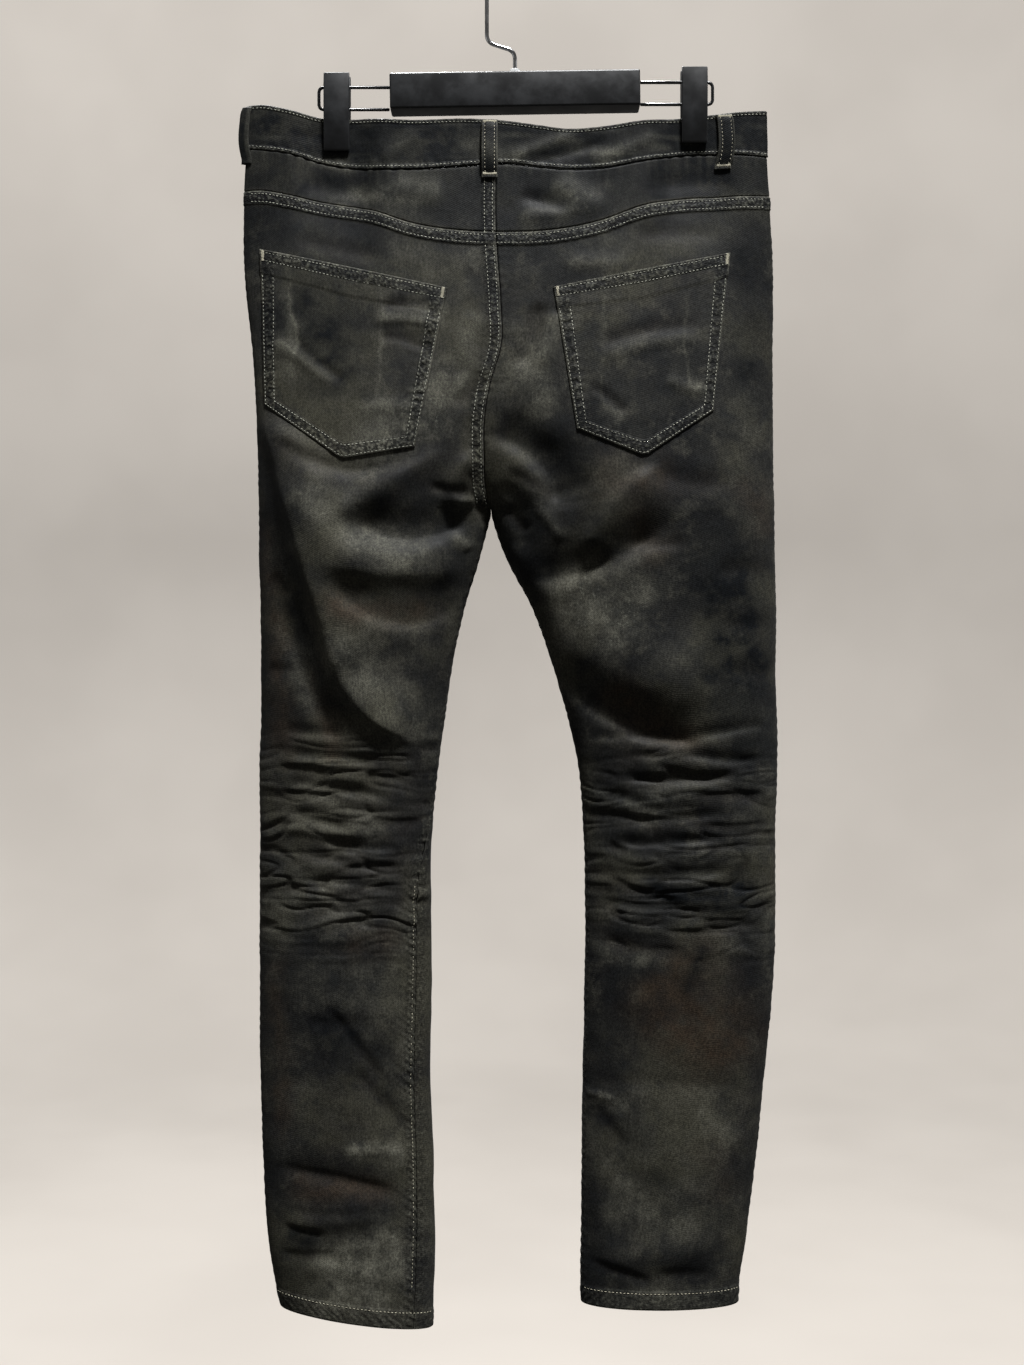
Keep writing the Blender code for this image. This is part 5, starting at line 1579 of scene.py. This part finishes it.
def hanger_clip(side):
    """Two jaws joined by a block between the runs of the wire, with rounded edges and a pressed grip."""
    clip = CLIPS[side]
    free = WIRE_THICKNESS / 2 + GAP
    block_top = clip.upper_wire + free
    block_foot = clip.lower_wire - free
    one = [
        (JAW_OPEN, block_top),
        (JAW_OPEN + 1.2, clip.top),
        (JAW_OPEN + JAW_THICK - 1.4, clip.top + 1.5),
        (JAW_OPEN + JAW_THICK, clip.top + 12),
        (JAW_OPEN + JAW_THICK, clip.lower_wire),
        (JAW_OPEN + JAW_TIP, clip.bottom - 2),
        (JAW_OPEN + JAW_TIP - 1, clip.bottom),
        (JAW_OPEN, clip.bottom),
        (JAW_OPEN, block_foot),
    ]
    outline = one + [(-y, drop) for y, drop in reversed(one)]
    bm = bmesh.new()
    left = clip.x - CLIP_WIDTH / 2
    face = bm.faces.new([bm.verts.new((left * MM, y * MM, -drop * MM)) for y, drop in outline])
    grown = bmesh.ops.extrude_face_region(bm, geom=[face])
    moved = [item for item in grown["geom"] if isinstance(item, bmesh.types.BMVert)]
    bmesh.ops.translate(bm, vec=(CLIP_WIDTH * MM, 0, 0), verts=moved)
    bmesh.ops.recalc_face_normals(bm, faces=bm.faces)
    rim = [edge for edge in bm.edges if edge.calc_face_angle(0) > math.radians(70)]
    bmesh.ops.bevel(bm, geom=rim, offset=0.9 * MM, affect="EDGES", segments=3, profile=0.5, material=-1)
    bmesh.ops.recalc_face_normals(bm, faces=bm.faces)
    solid_piece(f"clip_{side}_jaws", bm, "black_plastic")


def hook():
    """The wire hook: up from the bar, a step aside, and over the hang point."""
    rise = HOOK_RADIUS - HOOK_THICKNESS / 2
    foot = BAR_DROP - BAR_HEIGHT / 2 - GAP
    stem = [(0, foot), (0, HOOK_JOG[0]), (-HOOK_RADIUS, HOOK_JOG[1]), (-HOOK_RADIUS, rise)]
    angles = np.linspace(math.pi, 0, 41)[1:]
    arc = [(HOOK_RADIUS * math.cos(angle), rise - HOOK_RADIUS * math.sin(angle)) for angle in angles]
    tip = [(HOOK_RADIUS + 0.8, rise + HOOK_TIP)]
    bent_wire("hook_rod", rounded_route(stem, HOOK_BEND) + arc + tip, HOOK_THICKNESS, "chrome_wire")


def hook_collar():
    """The small clear sleeve round the foot of the hook."""
    foot = BAR_DROP - BAR_HEIGHT / 2 - GAP
    inner = HOOK_THICKNESS / 2 + GAP
    profile = [
        (inner, -foot), (inner, -foot + COLLAR_HEIGHT), (COLLAR_RADIUS - 1.2, -foot + COLLAR_HEIGHT),
        (COLLAR_RADIUS - 0.4, -foot + COLLAR_HEIGHT - 0.3), (COLLAR_RADIUS, -foot + COLLAR_HEIGHT - 1.1),
        (COLLAR_RADIUS, -foot), (inner, -foot),
    ]
    bm = bmesh.new()
    verts = [bm.verts.new((radius * MM, 0, height * MM)) for radius, height in profile[:-1]]
    edges = [bm.edges.new((one, other)) for one, other in zip(verts, verts[1:] + verts[:1])]
    bmesh.ops.spin(
        bm, geom=verts + edges, cent=(0, 0, 0), axis=(0, 0, 1), angle=2 * math.pi, steps=48, use_merge=True
    )
    bmesh.ops.remove_doubles(bm, verts=bm.verts, dist=1e-6)
    bmesh.ops.recalc_face_normals(bm, faces=bm.faces)
    made = solid_piece("hook_collar_sleeve", bm, "chrome_wire")
    made.data.materials[0] = MATERIALS["clear_sleeve"]


def linear(colour):
    """A colour given as sRGB hex digits, as linear light."""
    channels = [int(colour[i : i + 2], 16) / 255 for i in (0, 2, 4)]
    return [c / 12.92 if c <= 0.04045 else ((c + 0.055) / 1.055) ** 2.4 for c in channels] + [1]


# The lumps of a pattern in millimetres, how many finer sizes lie over them and how strong those are.
Noise = namedtuple("Noise", "name size detail rough")

# A pattern spread from one range of values to another, the marks it keeps to, and the colour it lays on.
Spread = namedtuple("Spread", "pattern low high start end inside colour", defaults=(None, None))

# A pattern raised in the surface: its strength, and its depth in millimetres.
Dent = namedtuple("Dent", "pattern strength depth")

# A wave texture at scale 1 repeats every 0.314 m.
WAVE_PITCH = 0.314


def add(tree, kind, inputs=None, **settings):
    """Adds a node with its settings, and fills its inputs with values or links to other nodes' outputs."""
    node = tree.nodes.new("ShaderNode" + kind)
    for name, value in settings.items():
        setattr(node, name, value)
    for name, value in (inputs or {}).items():
        if isinstance(value, bpy.types.NodeSocket):
            tree.links.new(value, node.inputs[name])
        else:
            node.inputs[name].default_value = value
    return node


def new_material(name, *noises):
    """A material with its node tree and the patterns that it is made from, fixed in the object's space."""
    material = bpy.data.materials.new(name)
    material.use_nodes = True
    tree = material.node_tree
    place = add(tree, "TexCoord").outputs["Object"]
    patterns = {}
    for noise in rows_of(Noise, *noises):
        inputs = {"Vector": place, "Scale": 1 / (noise.size * MM), "Detail": noise.detail}
        inputs["Roughness"] = noise.rough
        patterns[noise.name] = add(tree, "TexNoise", inputs).outputs["Fac"]
    return material, tree, patterns


def strength(tree, patterns, spread):
    """How strong a spread pattern is at each place."""
    inputs = {"Value": patterns[spread.pattern], "From Min": spread.low, "From Max": spread.high}
    inputs.update({"To Min": spread.start, "To Max": spread.end})
    value = add(tree, "MapRange", inputs, interpolation_type="SMOOTHSTEP").outputs["Result"]
    if spread.inside:
        inputs = {0: value, 1: patterns[spread.inside]}
        value = add(tree, "Math", inputs, operation="MULTIPLY").outputs["Value"]
    return value


def painted(tree, patterns, colour, *layers):
    """A base colour with other colours laid over it, one after the other."""
    for layer in rows_of(Spread, *layers):
        inputs = {0: strength(tree, patterns, layer), 6: colour, 7: linear(layer.colour)}
        colour = add(tree, "Mix", inputs, data_type="RGBA").outputs[2]
    return colour


def finished(tree, patterns, colour, rough, dents):
    """Gives the main shader its colour, its roughness, which adds up from spreads, and its dents."""
    shader = tree.nodes["Principled BSDF"]
    tree.links.new(colour, shader.inputs["Base Color"])
    total = 0.0
    for spread in rows_of(Spread, *rough):
        inputs = {0: strength(tree, patterns, spread), 1: total}
        total = add(tree, "Math", inputs, operation="ADD").outputs["Value"]
    tree.links.new(total, shader.inputs["Roughness"])
    normal = None
    for dent in rows_of(Dent, *dents):
        inputs = {"Height": patterns[dent.pattern], "Strength": dent.strength, "Distance": dent.depth * MM}
        if normal:
            inputs["Normal"] = normal
        normal = add(tree, "Bump", inputs).outputs["Normal"]
    if normal:
        tree.links.new(normal, shader.inputs["Normal"])
    return shader


def coated_denim():
    """Coated twill.

    Real material: stretch cotton twill, dyed black and coated with a waxy, slightly glossy film, then washed
    and rubbed. The film breaks on crests and edges, where the greyer yarn shows, and gathers in creases.
    That gives the eye dark soft gloss with cloudy olive and brown patches, fine pale scuffs, and a faint
    slanting twill under them. On top of that, creases and the largest folds are painted darker as shade, and
    the lit tops of the thighs are painted paler as light.
    """
    # The film pools in clouds as wide as a hand and in blots 24 mm wide, and breaks into flecks of 4 mm.
    # Gathers along a seam are 3 mm long. Real yarns are 0.4 mm thick and too fine for the picture, so the
    # weave's lumps are drawn 1.6 mm wide.
    material, tree, patterns = new_material(
        "coated_denim",
        ("clouds", 111.1, 4.0, 0.62),
        ("blots", 23.81, 5.0, 0.66),
        ("grain", 3.846, 4.0, 0.7),
        ("ladder", 3.03, 1.0, 0.5),
        ("weave", 1.613, 3.0, 0.75),
    )
    cloth = add(tree, "UVMap", uv_map="cloth").outputs["UV"]
    marks = add(tree, "Attribute", attribute_name="tone")
    tone = add(tree, "SeparateColor", {"Color": marks.outputs["Color"]})
    patterns.update(worn=tone.outputs["Red"], brown=tone.outputs["Green"], ink=tone.outputs["Blue"])
    patterns["seam"] = marks.outputs["Alpha"]
    # The yarns run down the leg: a slub is a thicker length of yarn, about 1 mm wide and 14 mm long.
    laid = add(tree, "Mapping", {"Vector": cloth, "Scale": (900, 70, 1)}).outputs["Vector"]
    slubs = {"Vector": laid, "Scale": 1.0, "Detail": 3.0, "Roughness": 0.6}
    patterns["slubs"] = add(tree, "TexNoise", slubs).outputs["Fac"]
    # Real twill lines lie 0.6 mm apart. They are drawn 1.5 mm apart, as fine as the picture can hold.
    slant = add(tree, "Mapping", {"Vector": cloth, "Rotation": (0, 0, math.radians(62))}).outputs["Vector"]
    twill = {"Vector": slant, "Scale": WAVE_PITCH / (1.5 * MM), "Distortion": 1.2, "Detail": 1.0}
    twill["Detail Scale"] = 2.0
    patterns["twill"] = add(tree, "TexWave", twill).outputs["Fac"]
    patterns["rubbed"] = strength(tree, patterns, Spread("worn", 0.12, 0.75, 0, 1))
    base = add(tree, "ValToRGB", {"Fac": strength(tree, patterns, Spread("clouds", 0.34, 0.66, 0, 1))})
    base.color_ramp.elements.new(0.5)
    stops = ((0.0, "141516"), (0.45, "232321"), (1.0, "35342c"))
    for mark, (position, colour) in zip(base.color_ramp.elements, stops):
        mark.position = position
        mark.color = linear(colour)
    # Along a seam the cloth is gathered: its hollows keep the dark film and are painted darker still as
    # shade, and its crests rub pale.
    coloured = painted(
        tree, patterns, base.outputs["Color"],
        ("blots", 0.50, 0.68, 0, 0.55, None, "3b3a34"),
        ("blots", 0.48, 0.30, 0, 0.5, None, "16181a"),
        # The brown and ink layers carry painted shade in the folds and creases as well as tone, and the worn
        # layer carries painted light on the lit thigh tops as well as wear; the pale scuffs follow the worn
        # layer.
        ("blots", 0.30, 0.56, 0.4675, 0.9775, "brown", "2f271f"),
        ("blots", 0.32, 0.60, 0.495, 1.08, "ink", "0c0e10"),
        ("blots", 0.34, 0.62, 0.2, 0.88, "worn", "59584f"),
        ("grain", 0.54, 0.70, 0, 0.32, "rubbed", "74746a"),
        # Painted shade in the hollows of the gathers along a seam.
        ("ladder", 0.60, 0.42, 0, 0.7, "seam", "0c0d0e"),
        ("ladder", 0.54, 0.70, 0, 0.25, "seam", "66675d"),
        ("grain", 0.62, 0.74, 0, 0.08, None, "5f5f56"),
    )
    patterns["yarn"] = strength(tree, patterns, Spread("slubs", 0.3, 0.7, 0.84, 1.18))
    yarn = strength(tree, patterns, Spread("weave", 0.34, 0.66, 0.62, 1.45, "yarn"))
    grey = add(tree, "CombineColor", {"Red": yarn, "Green": yarn, "Blue": yarn}).outputs["Color"]
    weaving = {0: 1.0, 6: coloured, 7: grey}
    woven = add(tree, "Mix", weaving, data_type="RGBA", blend_type="MULTIPLY").outputs[2]
    gathered = {0: patterns["seam"], 1: patterns["ladder"]}
    patterns["gathered"] = add(tree, "Math", gathered, operation="MULTIPLY").outputs["Value"]
    rough = (
        ("clouds", 0.3, 0.7, 0.54, 0.66),
        ("blots", 0.34, 0.62, 0.035, 0.154, "worn"),
        ("blots", 0.32, 0.60, -0.066, -0.144, "ink"),
        ("grain", 0.3, 0.7, -0.05, 0.05),
    )
    dents = (
        ("twill", 0.16, 0.4),
        ("slubs", 0.22, 0.4),
        ("grain", 0.3, 0.5),
        ("blots", 0.3, 1.6),
        ("gathered", 0.8, 1.2),
    )
    shader = finished(tree, patterns, woven, rough, dents)
    shader.inputs["Specular IOR Level"].default_value = 0.07
    shader.inputs["Sheen Weight"].default_value = 0.02
    shader.inputs["Sheen Roughness"].default_value = 0.5
    return material


def thread(name, colour, light):
    """Sewing thread.

    Real material: spun polyester thread, sewn in before the finish was sprayed and rubbed, so it carries
    some of the coating. It is matt, and its colour changes from stitch to stitch, which makes a row of
    stitches read as broken light dots. Its twisted plies are 0.3 mm wide, drawn 0.55 mm.
    """
    material, tree, patterns = new_material(name, ("wear", 14.29, 3.0, 0.5), ("ply", 0.5556, 2.0, 0.5))
    coloured = painted(tree, patterns, linear(colour), ("wear", 0.36, 0.64, 0, 1, None, light))
    finished(tree, patterns, coloured, [("ply", 0.3, 0.7, 0.62, 0.82)], [("ply", 0.5, 0.2)])
    return material


def black_plastic():
    """Moulded plastic.

    Real material: black polystyrene, moulded with a fine spark texture and handled in use. It gives a dark
    satin surface with a soft highlight, broken by faint cloudy rub marks 26 mm wide and a few pale specks of
    dust. The spark texture's grains are 0.1 mm wide, drawn 0.7 mm, and the dust is drawn 1.6 mm wide.
    """
    material, tree, patterns = new_material(
        "black_plastic", ("rubs", 26.32, 5.0, 0.6), ("spark", 0.6667, 2.0, 0.5), ("dust", 1.613, 3.0, 0.7)
    )
    coloured = painted(
        tree, patterns, linear("0c0d0f"),
        ("rubs", 0.35, 0.65, 0, 1, None, "131518"),
        ("dust", 0.68, 0.8, 0, 0.18, None, "6c6e70"),
    )
    finished(tree, patterns, coloured, [("rubs", 0.3, 0.7, 0.34, 0.48)], [("spark", 0.12, 0.2)])
    return material


def metal(name, dark, light, rough, streak, metallic=1.0):
    """A metal or coated wire with cloudy rub marks 17 mm wide and fine streaks of a given width."""
    material, tree, patterns = new_material(name, ("rubs", 16.667, 5.0, 0.6), ("streaks", streak, 3.0, 0.5))
    coloured = painted(tree, patterns, linear(dark), ("rubs", 0.35, 0.65, 0, 1, None, light))
    shader = finished(tree, patterns, coloured, [("rubs", 0.3, 0.7, *rough)], [("streaks", 0.08, 0.2)])
    shader.inputs["Metallic"].default_value = metallic
    return material


def clear_sleeve():
    """Clear sleeve.

    Real material: a short length of soft clear vinyl tube, clouded by age. It looks milky white with a
    bright wet edge, and its clouds are 3 mm wide.
    """
    material, tree, patterns = new_material("clear_sleeve", ("cloud", 3.333, 3.0, 0.5))
    coloured = painted(tree, patterns, linear("c9cbcc"), ("cloud", 0.3, 0.7, 0, 1, None, "e6e7e6"))
    shader = finished(tree, patterns, coloured, [("cloud", 0.3, 0.7, 0.16, 0.3)], [])
    shader.inputs["Transmission Weight"].default_value = 0.35
    return material


def emulsion():
    """Painted wall and floor.

    Real material: flat emulsion laid on with a roller. It is plain and matt, with very faint clouds as wide
    as a reach of the arm.
    """
    material, tree, patterns = new_material("studio_white", ("cloud", 714.3, 3.0, 0.5))
    coloured = painted(tree, patterns, linear("86817b"), ("cloud", 0.3, 0.7, 0, 1, None, "8c8781"))
    finished(tree, patterns, coloured, [("cloud", 0.3, 0.7, 0.9, 0.9)], [])
    return material


def backdrop():
    """A plain pale room: a floor that curves up into a round wall."""
    bm = bmesh.new()
    profile = [(0.0, FLOOR), (FLOOR_RADIUS, FLOOR)]
    for angle in np.linspace(0, math.pi / 2, 9)[1:]:
        profile.append((FLOOR_RADIUS + COVE * math.sin(angle), FLOOR + COVE * (1 - math.cos(angle))))
    profile.append((FLOOR_RADIUS + COVE, WALL_TOP))
    verts = [bm.verts.new((radius, 0, height)) for radius, height in profile]
    edges = [bm.edges.new(pair) for pair in zip(verts, verts[1:])]
    bmesh.ops.spin(
        bm, geom=verts + edges, cent=(0, 0, 0), axis=(0, 0, 1), angle=2 * math.pi, steps=72, use_merge=True
    )
    bmesh.ops.remove_doubles(bm, verts=bm.verts, dist=1e-5)
    bmesh.ops.recalc_face_normals(bm, faces=bm.faces)
    mesh = bpy.data.meshes.new("backdrop")
    bm.to_mesh(mesh)
    bm.free()
    mesh.shade_smooth()
    made = bpy.data.objects.new("backdrop", mesh)
    bpy.context.scene.collection.objects.link(made)
    made.data.materials.append(emulsion())
    # The room itself throws no light back, as in a dim shop lit by spots.
    made.visible_diffuse = made.visible_glossy = made.visible_shadow = False


def lamp(name, place, aim, size, power, colour="ffffff"):
    """A soft rectangular lamp, unseen itself, that shines at a point."""
    light = bpy.data.lights.new(name, "AREA")
    light.shape = "RECTANGLE"
    light.size, light.size_y = size
    light.energy = power
    light.color = linear(colour)[:3]
    made = bpy.data.objects.new(name, light)
    made.location = place
    made.rotation_euler = (Vector(aim) - Vector(place)).to_track_quat("-Z", "Y").to_euler()
    made.visible_camera = False
    bpy.context.scene.collection.objects.link(made)


def studio():
    """Soft light from high in front and behind, weaker at the sides, with a pale world."""
    backdrop()
    for name, place, aim, size, power in LAMPS:
        lamp(name, place, aim, size, power)
    world = bpy.data.worlds.new("studio_world")
    world.use_nodes = True
    world.node_tree.nodes["Background"].inputs["Color"].default_value = linear("f2efe9")
    world.node_tree.nodes["Background"].inputs["Strength"].default_value = WORLD_STRENGTH
    bpy.context.scene.world = world
    bpy.context.scene.view_settings.view_transform = "Standard"


def camera():
    """The photograph's view: level, straight at the back of the jeans, 1.5 m away."""
    data = bpy.data.cameras.new("camera")
    data.sensor_width = 36
    data.lens = CAMERA_LENS
    data.clip_start = 0.05
    made = bpy.data.objects.new("camera", data)
    made.location = CAMERA_PLACE
    made.rotation_euler = (math.pi / 2, 0, 0)
    bpy.context.scene.collection.objects.link(made)
    bpy.context.scene.camera = made


# Every material. The streaks of the metals are drawn about 1 mm wide, coarser than real ones.
MATERIALS = {
    "coated_denim": coated_denim(),
    # Spun thread that took the dark finish, and thread that was rubbed pale.
    "thread": thread("thread", "76776c", "a0a093"),
    "pale_thread": thread("pale_thread", "8b8776", "aca794"),
    "black_plastic": black_plastic(),
    # Steel button under a dark plated finish: it looks nearly black, with a soft metal glint on its rim.
    "gun_metal": metal("gun_metal", "2c2c2d", "4a4a4b", (0.26, 0.42), 1.111),
    # Steel wire dipped in black lacquer: glossy, a little uneven, with a sharp narrow highlight.
    "dark_wire": metal("dark_wire", "101112", "1a1b1d", (0.2, 0.34), 1.4286, 0.0),
    # Chrome plated steel: it mirrors the pale room, clouded a little by handling.
    "chrome_wire": metal("chrome_wire", "b9babd", "d2d3d5", (0.08, 0.2), 0.8333),
    "clear_sleeve": clear_sleeve(),
}

# The garment.
CLOTHES = {}
for side in SIDES:
    for face in FACES:
        CLOTHES[f"{face}_leg_{side}"] = leg(side, face)
    CLOTHES["yoke_" + side] = yoke(side)
    CLOTHES["pocket_facing_" + side] = facing(side)
    CLOTHES["back_pocket_" + side] = back_pocket(side)
CLOTHES["waistband"] = waistband()
CLOTHES["fly_flap"] = fly_flap()
CLOTHES["belt_loop_left"] = side_loop()
for name, (face, centre) in LOOPS.items():
    CLOTHES[name] = belt_loop(name, face, centre)
for node, piece in CLOTHES.items():
    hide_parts(node)
garment_stitches()
waist_button()

# The hanger.
hanger_bar()
hook()
hook_collar()
for side in SIDES:
    hanger_wire(side)
    hanger_clip(side)
    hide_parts("hanger_wire_" + side)
    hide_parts("clip_" + side)
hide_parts("waist_button")
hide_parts("hanger_bar")
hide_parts("hook")
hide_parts("hook_collar")

# The cut of the cloth that shows: width and length in metres, area in square metres, and what holds it.
Cut = namedtuple("Cut", "node flat area holds")
CUTS = rows_of(
    Cut,
    ("back_leg_left", (0.230, 0.985), 0.180, ("yoke_left_cloth",)),
    ("back_leg_right", (0.262, 0.975), 0.206, ("yoke_right_cloth",)),
    ("front_leg_left", (0.240, 1.000), 0.200, ("waistband_cloth",)),
    ("front_leg_right", (0.258, 1.000), 0.206, ("waistband_cloth",)),
    ("yoke_left", (0.225, 0.047), 0.0100, ("waistband_cloth",)),
    ("yoke_right", (0.245, 0.050), 0.0113, ("waistband_cloth",)),
    ("pocket_facing_left", (0.075, 0.105), 0.0068, ("waistband_cloth",)),
    ("pocket_facing_right", (0.077, 0.100), 0.0069, ("waistband_cloth",)),
    ("waistband", (0.940, 0.042), 0.0393, ("clip_left_jaws", "clip_right_jaws")),
    ("back_pocket_left", (0.168, 0.187), 0.0238, ("back_leg_left_cloth",)),
    ("back_pocket_right", (0.156, 0.180), 0.0207, ("back_leg_right_cloth",)),
    ("fly_flap", (0.049, 0.151), 0.0069, ("front_leg_left_cloth",)),
    ("belt_loop_back", (0.0145, 0.060), 0.00085, ("waistband_cloth",)),
    ("belt_loop_left", (0.0165, 0.062), 0.00102, ("waistband_cloth",)),
    ("belt_loop_right", (0.0145, 0.060), 0.00085, ("waistband_cloth",)),
    ("belt_loop_front_left", (0.0145, 0.062), 0.00088, ("waistband_cloth",)),
    ("belt_loop_front_right", (0.0145, 0.060), 0.00085, ("waistband_cloth",)),
)

studio()
camera()
